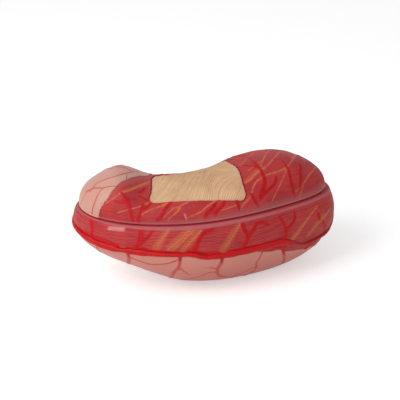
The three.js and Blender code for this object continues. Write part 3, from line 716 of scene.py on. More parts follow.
def tube_outside(tube):
    """A stub: its radius flares at the root by flare * (1 - u)^2; a rounded end, and fine ring ridges."""
    flare_end = 3 * tube.flare
    tip = tube.end - tube.root
    u = np.linspace(0, 1, TUBE_STEPS)
    along = np.linspace(flare_end, tip - STUB_ROUND, TUBE_STEPS)[1:]
    ridges = RIDGE_HEIGHT * np.sin(2 * np.pi * along / RIDGE_PITCH)
    profile = [(0, -tube.radius), *zip(tube.radius + tube.flare * (1 - u) ** 2, u * flare_end)]
    profile += zip(tube.radius + ridges, along)
    profile += [*rounded_edge(tube.radius, tip, STUB_ROUND)[1:], (0, tip)]
    return turned("stub", profile, *tube_axis(tube))


def tube_passage(tube):
    """The passage in a stub: it narrows to the neck at the wall and widens into the stomach."""
    neck = tube.flare / 2
    end = tube.end - tube.root + 2
    start = -2 * tube.radius
    return turned("passage", [
        (0, start), (tube.lumen, start), (tube.lumen, -tube.radius / 2), (tube.neck, neck),
        (tube.neck, neck * 2), (tube.lumen, neck * 5), (tube.lumen, end), (0, end),
    ], *tube_axis(tube))


def cylinder_of(node):
    """The middle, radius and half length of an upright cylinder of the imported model."""
    low, high = (np.array(corner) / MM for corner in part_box(node))
    return (low + high) / 2, (high[0] - low[0]) / 2, (high[2] - low[2]) / 2


def bore(node, way, spare):
    """A hole for a pin or disc magnet, spare larger all round, and 1 mm longer at its end away from way."""
    middle, radius, half_length = cylinder_of(node)
    radius, half_length = radius + spare, half_length + spare
    bottom, top = way * half_length, -way * (half_length + 1)
    profile = [(0, bottom), (radius, bottom), (radius, top), (0, top)]
    return turned("bore", profile, (0, 0, 1), middle, BORE_FACETS)


def grid_normals(grid):
    """The outward normals of a grid that is closed around, by the cross product of its differences."""
    around = np.roll(grid, -1, 1) - np.roll(grid, 1, 1)
    normal = unit(np.cross(around, np.gradient(grid, axis=0)))
    outward = (normal * (grid - (0, 0, SEAM))).sum()
    return normal if outward > 0 else -normal


def shell_grid(half, form):
    """The outer surface of a shell: its base points, moved by their insets and their relief.

    The first rows are the levels of the rim's rounding, an inset of r - sqrt(r^2 - (r - h)^2) at height h;
    the others lie closer together near the rim.
    """
    angles = even_angles(half, np.linspace(0, 1, SHELL_ROWS) ** half.dense)[:-1]
    place = np.arange(SHELL_COLUMNS) / SHELL_COLUMNS
    x = outline_at(place)[0][:, 0]
    e, reach = ease(half.fullness, x), ease(half.reach, x)
    low = ROUND_LEVELS[:, None] * half.round
    rim_spread = bend(low / reach, e)
    start = np.arccos(np.clip(bend(half.round / reach, e) ** (e / 2), 0, 1))
    angle = start + (np.pi / 2 - start) * (angles[:, None] * 2 / np.pi)
    spread = np.concatenate([rim_spread, np.maximum(np.cos(angle), 0) ** (2 / e)])
    rounded = half.round - np.sqrt(half.round**2 - (half.round - low) ** 2)
    rounding = np.concatenate([np.broadcast_to(rounded, rim_spread.shape), np.zeros_like(angle)])
    base = surface(half, place, spread, 0)
    inset, height = muscle_relief(half, form, base.reshape(-1, 3), grid_normals(base).reshape(-1, 3))
    moved = surface(half, place, spread, inset.reshape(spread.shape) + rounding)
    grid = moved + grid_normals(moved) * height.reshape(spread.shape)[..., None]
    grid[..., 2] = np.maximum(grid[..., 2], 0)
    return grid


def bump_over(field, height):
    """A rounded bump over a stroke: height * sqrt(1 - (distance / half width)^2)."""
    share = np.clip(field[:, 1] / np.maximum(field[:, 2], 0.01), 0, 1)
    return height * np.sqrt(1 - share**2)


def rim_width(share):
    """The width of the smooth band under the seam, by the share of the way from the pylorus to the body."""
    return RIM_BAND[0] + (RIM_BAND[1] - RIM_BAND[0]) * share


def muscle_relief(half, form, points, normals):
    """The relief of a half's outer surface: for each point an inset, and a height along the normal.

    The bared muscle lies a step below the serosa and carries fibre ridges that follow the seam; vessels,
    nerves and veins stand up as rounded beads; slow waves give the hand-sculpted form.
    """
    run = run_from_rim(half, points)
    cover = smooth(-1.2, 1.2, cover_of(points, half))
    fibres = np.sin(np.pi * fibre_turns(points, run, form))
    bundles = waves(points * (0.25, 0.25, 1), 11, 8)
    height = (1 - cover) * (form.fibre_height / MM * fibres + 0.12 * bundles)
    height += 0.2 * waves(points, 46, 9) + 0.08 * waves(points, 15, 10) - 0.2
    for key, bead, share in (("bead", 0.36, 1), ("nerve", 0.12, 1), ("vein", 0.42, cover)):
        height += share * bump_over(stroke_field(points, normals, half, half.strokes[key]), bead)
    if half is REAR:
        width = rim_width(smooth(*RIM_BAND_SPAN, points[:, 0]))
        height += 0.3 * smooth(0.5, -0.5, run - width)
    return form.layer_step / MM * (1 - cover), height * smooth(0.4, 2.6, run)


def fibre_turns(points, run, form):
    """The fibre pattern in turns: the distance from the rim over the pitch, drawn aside by slow waves."""
    return run / (form.fibre_pitch / MM) + 0.6 * waves(points, 60, 11) + 0.3 * waves(points, 19, 12)


def paint_shell(piece, half, form):
    """Writes what the coat's finish reads: strokes, layers and edges, as distances in mm."""
    mesh = piece.data
    points, normals = vectors_of(mesh.vertices, "co") / MM, vectors_of(mesh.vertex_normals, "vector")

    def field(key):
        return stroke_field(points, normals, half, half.strokes[key])

    run = run_from_rim(half, points)
    along_stub = points[:, 1] / (form.fibre_pitch / MM)
    turns = np.where(on_stub(points), along_stub, fibre_turns(points, run, form))
    window = loop_distance(points[:, :2], window_loop(0)) if half is FRONT else np.full(len(points), FAR)
    _, stain, stain_width = field("stain").T
    for key in ("vessel", "nerve", "vein", "scuff_and_highlight"):
        store(mesh, key, field(key))
    store(mesh, "layers", np.stack([cover_of(points, half), turns, run], -1))
    store(mesh, "edges", np.stack([stain - stain_width, window, depth_in_wall(points)], -1))


def on_stub(points):
    """Whether points lie on either stub, beyond the stomach's wall."""
    found = np.zeros(len(points), bool)
    for tube in STUBS:
        axis, root = tube_axis(tube)
        along = (points - root) @ axis
        across = length_of(points - root - along[:, None] * axis)
        found |= (along > tube.flare + STUB_MARGIN) & (across < tube.radius + STUB_MARGIN)
    return found


def depth_in_wall(points):
    """How far inside the seam's outline a point lies in plan, along the ray from the origin."""
    point, outward = outline_at(towards(points)[0])
    return (length_of(point) - length_of(points[:, :2])) * (unit(point) * outward).sum(-1)


def shade_smooth(piece, degrees):
    """Smooth faces, with the edges sharper than the angle kept crisp."""
    mesh = piece.data
    mesh.polygons.foreach_set("use_smooth", np.ones(len(mesh.polygons), bool))
    mesh.set_sharp_from_angle(angle=math.radians(degrees))


def make_shell(half, form):
    """A muscle shell: outer form and both stubs, cut at the seam, hollowed, and bored for its fittings."""
    fit = form.fit / MM
    top = surface(half, 0.0, 0.0, form.layer_step / MM)
    piece = solid(f"{half.side}_coat", shell_grid(half, form), (0, 0, SEAM), top)
    for tube in STUBS:
        combine(piece, tube_outside(tube), "UNION")
    combine(piece, block(half.face, -half.way))
    combine(piece, dome("hollow", half, form.wall / MM, HOLLOW_SIZE, 2))
    for tube in STUBS:
        combine(piece, tube_passage(tube))
    for i in FITTINGS:
        combine(piece, bore(f"locating_pin_{i}", -1, fit))
        combine(piece, bore(f"{half.side}_magnet_{i}", half.way, fit))
    return piece


def window_solid(name, depths, inside, rings, relief=None):
    """A solid under the window's outline, between two insets of the front half's surface, or open above it.

    Its rings shrink from the window's edge to its middle, first on the lower face and then on the upper.
    """
    edge = window_loop(inside)
    middle = np.array(WINDOW_MIDDLE, float)
    share = np.linspace(0, 1, rings + 1)[1:] ** 0.9
    plan = middle + (edge - middle) * share[:, None, None]

    def face(depth):
        return np.concatenate([plan, height_over(FRONT, plan, depth)[..., None]], -1)

    low = face(depths[0])
    high = low + (0, 0, RECESS_HEIGHT) if depths[1] is None else face(depths[1])
    if relief is not None:
        high[..., 2] += relief(high)
    ends = [np.append(middle, z) for z in (low[0, :, 2].mean(), high[0, :, 2].mean())]
    return solid(name, np.concatenate([low, high[::-1]]), *ends)


def fan_turns(points, form):
    """The oblique muscle's fibres in turns: x less a lean, strong at the pylorus, curled at the cardia."""
    x, up = points[..., 0], points[..., 1] - FAN_FOOT
    lean = 1.35 * smooth(20, -48, x) + 0.12 + 0.5 * smooth(8, 36, x)
    curl = 0.012 * smooth(0, 36, x) - 0.008 * smooth(-5, -45, x)
    sway = 0.3 * waves(points, 30, 21) + 0.12 * waves(points, 9, 22)
    return (x - lean * up * 0.7 - curl * up**2) / (form.strand_pitch / MM) + sway


def make_panel(name, form):
    """The oblique muscle in the window: a curved sheet whose upper face is combed into a fan of fibres."""
    fit, thickness = form.fit / MM, form.panel_thickness / MM
    top = (form.layer_step + form.window_depth - form.fit - form.panel_thickness) / MM

    def relief(points):
        turns = fan_turns(points, form)
        broad = np.sin(2 * np.pi * turns / 4.3 + waves(points, 25, 23))
        return 0.13 * np.sin(2 * np.pi * turns) + 0.16 * broad + 0.25 * waves(points, 28, 24)

    piece = window_solid(name, (top + thickness, top), fit, PANEL_RINGS, relief)
    points = vectors_of(piece.data.vertices, "co") / MM
    edge = loop_distance(points[:, :2], window_loop(fit))
    store(piece.data, "fan", np.stack([fan_turns(points, form), edge, np.zeros_like(edge)], -1))
    return piece


def folded_cavity(half, form):
    """The hollow inside a lining, as a solid that stands past the seam.

    Sections go from the pyloric end to the fundus. Across a section, from the greater to the lesser
    curvature, the wall is raised into crests of 1 - |cos|^0.75 that wander sideways, with cross wrinkles.
    """
    stations, count = FOLD_SIZE
    along = np.linspace(0.03, np.pi - 0.03, stations)[:, None]
    across = np.linspace(0, 1, count)[None, :]
    wave = np.sin(2 * FOLD_WAVES * along + half.way) * np.sin(along)
    drawn = across + FOLD_WANDER * wave * np.sin(np.pi * across) ** 2 / 2
    p = np.broadcast_to(-np.cos(along), drawn.shape)
    q = -np.sin(along) * np.cos(np.pi * drawn)
    spread = np.minimum(1, np.hypot(p, q))
    place, _ = towards(np.stack([p * OUTLINE[:, 0].max(), q * -OUTLINE[:, 1].min()], -1))
    wall = (form.wall + form.fit + form.lining) / MM
    smooth_wall = surface(inner(half), place, spread, wall)
    sway = 0.10 * waves(smooth_wall, 38, 31 + half.way) + 0.035 * waves(smooth_wall, 14, 33)
    turns = form.fold_count * across + sway * 6 * np.sin(np.pi * across)
    crest = 1 - np.abs(np.cos(np.pi * turns)) ** 0.75
    crest = crest * (0.75 + 0.25 * waves(smooth_wall, 24, 34))
    wrinkles = 0.22 * np.sin(2 * np.pi * along * 16 + 5 * waves(smooth_wall, 20, 35)) * (0.3 + crest)
    fade = np.minimum(1, 2 * np.sin(along)) * smooth(0, 0.05, across) * smooth(1, 0.95, across)
    raised = (form.fold_height / MM * crest + wrinkles) * fade
    grid = surface(inner(half), place, spread, wall + raised)
    rims = [grid[:, side, None] * (1, 1, 0) + (0, 0, SEAM - half.way * 2) for side in (0, -1)]
    grid = np.concatenate([rims[0], grid, rims[1]], 1)
    fold = np.pad(raised / (form.fold_height / MM), ((0, 0), (1, 1)))
    extra = {"fold": np.repeat(fold[..., None], 3, -1)}
    return solid("cavity", grid, grid[0].mean(0), grid[-1].mean(0), extra)


def make_lining(half, form):
    """A mucosa lining: a thin dome against the muscle shell, less its folded cavity and both passages."""
    piece = dome(f"{half.side}_mucosa", half, (form.wall + form.fit) / MM, LINING_SIZE, 0)
    combine(piece, block(half.face, -half.way))
    combine(piece, folded_cavity(half, form))
    for tube in STUBS:
        combine(piece, tube_passage(tube))
    return piece


def make_artery(name, form, artery, spare=0):
    """An artery: an oval section carried along its line, thicker and thinner, and rounded at its ends.

    Its girth is the width, in shares of the diameter; the height of the section is the diameter at most.
    spare makes it that much larger all round, to cut its groove.
    """
    diameter = artery_diameter(form, artery)
    line = artery_line(form, artery)
    tangent = unit(np.gradient(line, axis=0))
    side = unit(np.cross(tangent, artery_line(form, artery, ARTERY_PROBE) - line))
    out = np.cross(side, tangent)
    run = run_along(line)
    place = np.linspace(artery.stations[0][0], artery.stations[-1][0], ARTERY_STEPS)
    width = ease(artery.girth, place) * (1 + 0.1 * waves(line, 15, 41) + 0.05 * waves(line, 6, 42))
    height = np.minimum(width, 1) * (0.9 + 0.05 * waves(line, 12, 43))
    closing = np.sqrt(np.clip(np.minimum(run, run[-1] - run) / diameter, 0.02, 1)) * diameter / 2
    turn = np.arange(ARTERY_FACETS) / ARTERY_FACETS * 2 * np.pi
    across = (width * closing + spare)[:, None, None] * np.cos(turn)[None, :, None] * side[:, None]
    upward = (height * closing + spare)[:, None, None] * np.sin(turn)[None, :, None] * out[:, None]
    grid = line[:, None] + across + upward
    extra = {"artery": np.broadcast_to(place[:, None, None], grid.shape).copy()}
    return solid(name, grid, line[0], line[-1], extra)


def make_fitting(name, node, edge):
    """A pin or disc magnet in the place of its solid: a turned cylinder with rounded edges."""
    middle, radius, half_length = cylinder_of(node)
    arc = rounded_edge(radius, half_length, edge)
    profile = [(0, -half_length), *(arc[::-1] * (1, -1)), *arc, (0, half_length)]
    return turned(name, profile, (0, 0, 1), middle, FITTING_FACETS)


def operator_of(operation, order=1):
    """An operator of Value that adds a Math node; order -1 swaps its two values."""
    return lambda value, *other: value.finish.maths(operation, *(value, *other)[::order])


class Value:
    """A number in a finish: arithmetic on it adds Math nodes."""

    __add__ = __radd__ = operator_of("ADD")
    __mul__ = __rmul__ = operator_of("MULTIPLY")
    __sub__, __rsub__ = operator_of("SUBTRACT"), operator_of("SUBTRACT", -1)
    __truediv__ = operator_of("DIVIDE")
    __abs__ = operator_of("ABSOLUTE")

    def __init__(self, finish, socket):
        self.finish = finish
        self.socket = socket


class Finish:
    """The nodes of a material, or of the world, under construction."""

    def __init__(self, owner):
        self.owner = owner
        owner.use_nodes = True
        self.tree = owner.node_tree
        self.tree.nodes.clear()

    def node(self, kind, settings, sockets, output=0):
        """Adds a node: its settings come first, then each of its sockets gets a value or a link."""
        node = self.tree.nodes.new(kind)
        for key, value in settings.items():
            setattr(node, key, value)
        for key, value in sockets.items():
            if isinstance(value, Value):
                self.tree.links.new(value.socket, node.inputs[key])
            else:
                node.inputs[key].default_value = value
        return Value(self, node.outputs[output]) if len(node.outputs) else None

    def maths(self, operation, *values):
        return self.node("ShaderNodeMath", {"operation": operation}, dict(enumerate(values)))

    def step(self, low, high, value):
        """0 at low and 1 at high, smooth between them; low may be the larger."""
        return self.node("ShaderNodeMapRange", {"interpolation_type": "SMOOTHSTEP"},
                         {"Value": value, "From Min": low, "From Max": high})

    def ripple(self, turns):
        """A sine wave from 0 to 1, once every turn."""
        return 0.5 + 0.5 * self.maths("SINE", turns * (2 * math.pi))

    def mix(self, factor, first, second):
        return self.node("ShaderNodeMix", {"data_type": "RGBA"}, {0: factor, 6: first, 7: second}, 2)

    def layers(self, base, *coats):
        """Lays coats of paint over a base, in order: each a mask, None for no coat, and a colour."""
        for mask, paint in coats:
            if mask is not None:
                base = self.mix(mask, base, paint)
        return base

    def parts(self, vector):
        return [self.node("ShaderNodeSeparateXYZ", {}, {0: vector}, k) for k in range(3)]

    def attribute(self, key):
        return self.parts(self.node("ShaderNodeAttribute", {"attribute_name": key}, {}, "Vector"))

    def place(self):
        """Object coordinates in millimetres."""
        here = self.node("ShaderNodeTexCoord", {}, {}, "Object")
        return self.node("ShaderNodeVectorMath", {"operation": "SCALE"}, {0: here, "Scale": 1 / MM})

    def noise(self, vector, period, detail=3.0, roughness=0.5):
        """A cloudy number, about 0.3 to 0.7, whose features measure about one period."""
        return self.node("ShaderNodeTexNoise", {}, {
            "Vector": vector, "Scale": 1 / period, "Detail": detail, "Roughness": roughness})

    def combine(self, x, y, z):
        return self.node("ShaderNodeCombineXYZ", {}, {0: x, 1: y, 2: z})

    def seen_plainly(self):
        """1 for what the camera sees, directly, in a reflection or through glass."""
        kinds = ("Is Camera Ray", "Is Glossy Ray", "Is Transmission Ray")
        camera, glossy, through = (self.node("ShaderNodeLightPath", {}, {}, kind) for kind in kinds)
        return camera + glossy + through

    def shade(self, base, roughness, relief=None, distance=0, specular=0.5, coat=(0, 0.03), **others):
        """Ends the material in one shader, with a relief in mm and a coat's weight and roughness."""
        sockets = {"Base Color": base, "Roughness": roughness, "Specular IOR Level": specular,
                   "Coat Weight": coat[0], "Coat Roughness": coat[1], **others}
        if relief is not None:
            bump = {"Height": relief, "Distance": distance * MM}
            sockets["Normal"] = self.node("ShaderNodeBump", {}, bump)
        shader = self.node("ShaderNodeBsdfPrincipled", {}, sockets)
        self.node("ShaderNodeOutputMaterial", {}, {"Surface": shader})
        return self.owner


def stroke_mask(finish, key, soft):
    """1 inside the strokes that an attribute describes: near one, and less than its half width off."""
    across, distance, half_width = finish.attribute(key)
    inside = finish.step(half_width + soft, half_width - soft, abs(across))
    return inside * finish.step(half_width + 1.6, half_width + 0.9, distance)


def muscle_paint(finish, half, paint, here, turns, stain):
    """Bared muscle: fine pale fibres on red, cloudy, washed with ochre where stained; and its relief."""
    x, y, _ = finish.parts(here)
    streak = finish.noise(finish.combine(x / 26, y / 26, turns * 0.9), 1, 3, 0.6)
    lines = finish.ripple(turns)
    base = finish.layers(
        paint.muscle,
        (finish.step(0.35, 0.68, finish.noise(here, 22, 3)), paint.muscle_deep),
        (lines * (0.1 + half.contrast * finish.step(0.34, 0.6, streak)), paint.muscle_pale),
        ((1 - lines) * half.contrast * 0.7 * finish.step(0.66, 0.4, streak), paint.crease_and_shade),
        (finish.step(2.0, -1.6, stain) * (0.24 + 0.28 * lines), paint.nerve),
    )
    return base, lines * 0.3 + streak * 0.4


def serosa_paint(finish, half, paint, here):
    """The pink coat: cloudy, and darker, deeper pink towards the foot of the rear half."""
    cloud = finish.step(0.38, 0.66, finish.noise(here, 24, 3)) * 0.35
    if half is FRONT:
        return finish.mix(cloud, paint.serosa, paint.serosa_shade)
    deepening = finish.step(44, 8, finish.parts(here)[2]) * 0.55
    return finish.layers(paint.serosa_rear, (cloud, paint.serosa_shade), (deepening, paint.serosa_low))


def coat_finish(half, paint):
    """The painted outside of a half: fibrous red muscle and pink serosa, with vessels and nerves."""
    finish = Finish(bpy.data.materials.new(f"{half.body}_coat"))
    step = finish.step
    cover, turns, run = finish.attribute("layers")
    stain, window, _ = finish.attribute("edges")
    here = finish.place()
    x, y, _ = finish.parts(here)
    speck = finish.noise(here, 1.6, 2)
    blotch = finish.noise(here, 4, 2)
    muscle, relief = muscle_paint(finish, half, paint, here, turns, stain)
    edge = cover + (speck - 0.5) * 1.2
    covered = step(-0.7, 0.7, edge)
    bared = 1 - covered
    dark = step(0.4, 0.64, blotch)
    if half is FRONT:
        dark = 0.4 + 0.6 * dark
        haze = step(-8, 0, edge) * step(-92, -70, x) * 0.5
        # Painted shade: a dark line along the serosa's raised edge.
        edge_shade_and_highlight = step(1.1, 0.2, abs(cover)) * 0.55, paint.crease_and_shade
        # Painted light: a paler band on the lid's lower lip, where it turns under into shade.
        lip = step(3.4, 1.6, run) * step(-50, 60, x) * bared * 0.6
        # Mauve band on the lid's lower edge, widening to the fundus: partly the smooth edge's own tint,
        # partly a painted reflection of the surround.
        rim = step(1, 0.1, run / (3.6 + 7.5 * step(-90, 70, x))) * bared * 0.65
        # Dark crimson along the seam: the joint line, deepened with painted shade of the gap.
        crease_and_shade = step(0.9 + 0.5 * step(0, 80, x), 0.3, run)
        # Painted shadow: a dark line down the window's left and right edges, where the recess drops.
        sides = (step(-40, -44, x) + step(29, 35, x)) * step(-34, -29, y + 4 * step(0, 30, x))
        cut = step(1.4, 0.3, window + (speck - 0.5)) * step(0, 0.5, sides) * 0.75
    else:
        haze = lip = cut = None
        # Painted highlight: a pale line just inside the serosa's raised edge, below the artery.
        edge_shade_and_highlight = step(0, 0.8, edge) * step(4.2, 2.2, edge) * 0.4, paint.serosa
        # Mauve band under the seam on the rear half's rounded lip: partly the smooth edge's own tint, partly
        # a painted reflection of the surround.
        rim = step(0.35, -0.35, run - rim_width(step(*RIM_BAND_SPAN, x))) * 0.7
        # Dark crimson along the seam: the joint line, deepened with painted shade of the gap.
        crease_and_shade = step(0.9 + 1.1 * step(0, 80, x), 0.2, run)
    vein = stroke_mask(finish, "vein", 0.5) * (0.2 + 0.6 * covered)
    nerve = stroke_mask(finish, "nerve", 0.6) * (0.3 + 0.45 * step(0.3, 0.6, blotch)) * bared
    vessel = stroke_mask(finish, "vessel", 0.8)
    base = finish.layers(
        muscle,
        (haze, paint.rim),
        (covered, serosa_paint(finish, half, paint, here)),
        edge_shade_and_highlight,
        (vein, paint.vein),
        (nerve, paint.nerve),
        (vessel * 0.92, finish.mix(dark, paint.artery, paint.artery_deep)),
        (lip, paint.serosa_shade),
        (rim, paint.rim),
        (crease_and_shade * 0.9, paint.seam),
        # Pale marks: a worn scuff on the lid, and a painted highlight on the rear rim.
        (stroke_mask(finish, "scuff_and_highlight", 1.1) * 0.5, paint.scuff_and_highlight),
        (cut, paint.crease_and_shade),
    )
    relief = relief * bared * step(1.0, 5.0, run) + speck * 0.12 + vessel * 0.2
    return finish.shade(base, 0.46 + 0.1 * bared * speck, relief, 0.25, specular=0.16, coat=(0.04, 0.25))


def cut_finish(half, paint):
    """The cut wall at the seam: red muscle in two layers, a pale line between, and pink by the lining."""
    finish = Finish(bpy.data.materials.new(f"{half.body}_cut_wall"))
    step = finish.step
    _, _, within = finish.attribute("edges")
    speck = finish.noise(finish.place(), 1.2, 2)
    depth = within + (speck - 0.5) * 0.8
    # The lip outside the lid takes the rim's mauve, partly a painted reflection. About the lid's contact
    # line it is dark crimson: the joint, deepened with painted shade.
    base = finish.layers(
        paint.rim,
        (step(-1.6, -0.6, within), paint.seam),
        (step(0.6, 1.4, depth), paint.muscle),
        (step(3.3, 3.6, depth) * step(4.2, 3.9, depth) * 0.7, paint.serosa_shade),
        (step(6.0, 6.6, depth), paint.serosa_shade),
    )
    return finish.shade(base, 0.42 + 0.15 * speck, speck, 0.08, coat=(0.1, 0.3))


def mucosa_finish(paint):
    """The lining: pale crests and flushed valleys with a fine wet grain."""
    finish = Finish(bpy.data.materials.new("mucosa"))
    fold, _, _ = finish.attribute("fold")
    here = finish.place()
    grain = finish.noise(here, 1.3, 3, 0.6)
    crest = finish.step(0.12, 0.75, fold + (finish.noise(here, 14, 3) - 0.5) * 0.4)
    deepening = finish.step(0.55, 0.72, finish.noise(here, 5, 4, 0.65)) * 0.35
    base = finish.layers(paint.mucosa_deep, (crest, paint.mucosa), (deepening, paint.vein))
    return finish.shade(base, 0.3 + 0.15 * grain, grain, 0.25, coat=(0.35, 0.2))


def oblique_finish(paint):
    """The oblique muscle: tan fibres in a fan, with a thin shadowed edge."""
    finish = Finish(bpy.data.materials.new("oblique_muscle"))
    turns, edge, _ = finish.attribute("fan")
    here = finish.place()
    x, y, _ = finish.parts(here)
    streak = finish.noise(finish.combine(turns * 1.1, y / 30, x / 60), 1, 3, 0.6)
    lines = finish.ripple(turns)
    base = finish.layers(
        paint.oblique,
        (finish.step(0.35, 0.65, finish.noise(here, 26, 2)), paint.oblique_pale),
        ((1 - lines) * finish.step(0.35, 0.62, streak) * 0.62, paint.oblique_deep),
        (finish.step(1.3, 0.2, edge) * 0.45, paint.serosa_shade),
    )
    relief = lines * 0.6 + streak * 0.6
    return finish.shade(base, 0.5 + 0.1 * streak, relief, 0.25, specular=0.25, coat=(0.04, 0.3))


def artery_finish(paint):
    """Satin red paint, the colour of the muscle where the vessel dips and deeper beyond."""
    finish = Finish(bpy.data.materials.new("artery"))
    place, _, _ = finish.attribute("artery")
    here = finish.place()
    cloud = finish.noise(here, 6, 2)
    base = finish.layers(
        paint.artery,
        (finish.step(0.38, 0.66, cloud) * 0.5, paint.artery_deep),
        (finish.step(0.316, 0.326, place) * 0.85, paint.muscle_deep),
        (finish.step(0.345, 0.36, place) * 0.7, paint.artery_deep),
    )
    relief = finish.noise(here, 2.2, 2)
    return finish.shade(base, 0.4 + 0.12 * cloud, relief, 0.12, specular=0.2, coat=(0.06, 0.2))


def metal_finish(name, tint, roughness):
    """Turned steel or nickel plate with faint rings."""
    finish = Finish(bpy.data.materials.new(name))
    x, y, z = finish.parts(finish.place())
    rings = finish.noise(finish.combine(x * 0.02, y * 0.02, z * 3), 1, 2)
    return finish.shade(tint, roughness + 0.12 * rings, rings, 0.02, Metallic=1.0)


def floor_finish(lift):
    """Pale floor that takes the object's shadow; seen directly or in a reflection, it is lifted to white."""
    finish = Finish(bpy.data.materials.new("floor"))
    glow = finish.mix(finish.seen_plainly(), (0, 0, 0, 1), (lift, lift, lift, 1))
    light = {"Emission Color": glow, "Emission Strength": 1.0}
    return finish.shade((0.8, 0.8, 0.8, 1), 0.9, specular=0.1, **light)


def hue(name, description, red, green, blue):
    """A colour property, its default given as it looks."""
    return FloatVectorProperty(name=name, description=description, subtype="COLOR", size=4, min=0, max=1,
                               default=(*colour(red, green, blue), 1))


def span(name, description, millimetres):
    """A length property, its default given in mm."""
    return FloatProperty(name=name, description=description, unit="LENGTH", precision=5,
                         default=millimetres * MM)


class StomachForm(bpy.types.PropertyGroup):
    """Sizes that shape the pieces."""

    wall: span("Wall", "Thickness of the muscle shells", 7.5)
    lining: span("Lining", "Thickness of the mucosa between its folds", 2.2)
    fit: span("Fit", "Clearance between seated pieces", 0.3)
    layer_step: span("Layer step", "How far the serosa stands out from the bared muscle", 0.8)
    fibre_pitch: span("Fibre pitch", "Distance between the fibres of the muscle", 1.45)
    fibre_height: span("Fibre height", "Height of the ridges of the muscle", 0.05)
    fold_height: span("Fold height", "Height of the folds of the mucosa", 2.8)
    fold_count: IntProperty(name="Folds", description="Folds across each half, from rim to rim",
                            default=6, min=1)
    window_depth: span("Window depth", "Depth of the window below the bared muscle", 2)
    panel_thickness: span("Panel thickness", "Thickness of the oblique muscle panel", 1.2)
    strand_pitch: span("Strand pitch", "Distance between the fibres of the oblique muscle", 1.9)
    epiploic_diameter: span("Epiploic diameter", "Thickness of the gastroepiploic artery", 4.4)
    gastric_diameter: span("Gastric diameter", "Thickness of the gastric artery", 3.6)
    fitting_edge: span("Fitting edge", "Rounding of the pins and magnets", 0.4)


class StomachPaint(bpy.types.PropertyGroup):
    """Paint colours."""

    muscle: hue("Muscle", "Bared muscle", 186, 50, 50)
    muscle_deep: hue("Deep muscle", "Darker patches of the muscle", 166, 38, 46)
    muscle_pale: hue("Pale fibres", "Crests of the muscle's fibres", 206, 90, 90)
    # Dark red of the fibre valleys, also used for the painted shade along the serosa's step and the window's
    # sides.
    crease_and_shade: hue("Fibre creases", "Valleys between the muscle's fibres, and the window's edge", 130, 16, 22)
    # Mauve of the smooth bands along the seam: partly the smooth edges' own tint, partly a painted
    # reflection.
    rim: hue("Rim", "Smooth bands along the seam", 178, 104, 108)
    # Dark crimson of the seam: the joint's own line, deepened with painted shade of the gap.
    seam: hue("Seam", "Dark line in the seam", 156, 26, 40)
    serosa: hue("Serosa", "Pink coat of the front half", 206, 156, 142)
    serosa_rear: hue("Rear serosa", "Pink coat of the rear half", 216, 142, 128)
    # Warmer pink patches. Also laid as painted light on the lid's lower lip and as painted shade along the
    # panel's edge.
    serosa_shade: hue("Serosa shade", "Warmer patches of the pink coat", 206, 136, 120)
    # Deeper pink that the rear coat turns to towards its foot.
    serosa_low: hue("Flushed serosa", "Pink coat at the foot of the rear half", 196, 92, 82)
    vein: hue("Vein", "Veins under the serosa", 188, 70, 66)
    nerve: hue("Nerve", "Nerves on the muscle", 204, 118, 72)
    artery: hue("Artery", "Bright red vessels", 198, 8, 12)
    artery_deep: hue("Deep artery", "Darker patches of the vessels", 172, 8, 18)
    # A pale worn spot on the lid, and the painted highlight on the rear rim.
    scuff_and_highlight: hue("Scuff", "Pale worn spots", 228, 168, 164)
    oblique: hue("Oblique muscle", "Fibres in the window", 212, 168, 128)
    oblique_pale: hue("Pale oblique muscle", "Lighter patches in the window", 226, 186, 146)
    oblique_deep: hue("Deep oblique muscle", "Valleys between the fibres in the window", 178, 128, 88)
    mucosa: hue("Mucosa", "Crests of the folds", 234, 176, 160)
    mucosa_deep: hue("Deep mucosa", "Valleys between the folds", 212, 110, 102)
    steel: hue("Steel", "Locating pins", 196, 198, 200)
    nickel: hue("Nickel", "Disc magnets", 208, 206, 200)


class StomachStage(bpy.types.PropertyGroup):
    """Camera and light."""

    elevation: FloatProperty(name="Elevation", description="Height of the camera's view over level",
                             subtype="ANGLE", default=math.radians(25))
    roll: FloatProperty(name="Roll", description="Turn of the camera about its view, clockwise",
                        subtype="ANGLE", default=math.radians(3))
    distance: FloatProperty(name="Distance", description="From the camera to the middle of the seam",
                            unit="LENGTH", default=1.1)
    focal: FloatProperty(name="Focal length", description="Lens of the camera, in mm", default=103.1)
    daylight: FloatProperty(name="Daylight", description="Strength of the even light around", default=0.62)
    key: FloatProperty(name="Key light", default=14,
                       description="Power of the large soft lamp over the left shoulder, in W")
    floor_lift: FloatProperty(name="Floor lift", default=0.46,
                              description="What lifts the floor to white where it is seen")
    fill: FloatProperty(name="Fill light", description="Power of the soft lamp in front, in W", default=2.5)


# The camera looks at the target, a point at the level of the seam, and shows it at a pixel of the image.
IMAGE_SIDE = 400
TARGET_PIXEL = (203.5, 194.5)
TARGET = (2, 14)


def finish_piece(piece, node, half, materials, degrees):
    """Gives a piece its materials and its place in the assembly."""
    for material in materials:
        piece.data.materials.append(material)
    shade_smooth(piece, degrees)
    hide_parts(node)
    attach(piece, half.body)


def finish_shell(piece, half, form, paint):
    """Paints a muscle shell, and gives its level faces at the seam the material of the cut wall."""
    paint_shell(piece, half, form)
    materials = [coat_finish(half, paint), cut_finish(half, paint)]
    finish_piece(piece, f"{half.side}_muscle_shell", half, materials, 38)
    faces = piece.data.polygons
    level = np.abs(vectors_of(faces, "normal")[:, 2]) > 0.99
    at_seam = np.abs(vectors_of(faces, "center")[:, 2] / MM - half.face) < 0.05
    faces.foreach_set("material_index", (level & at_seam).astype(np.int32))


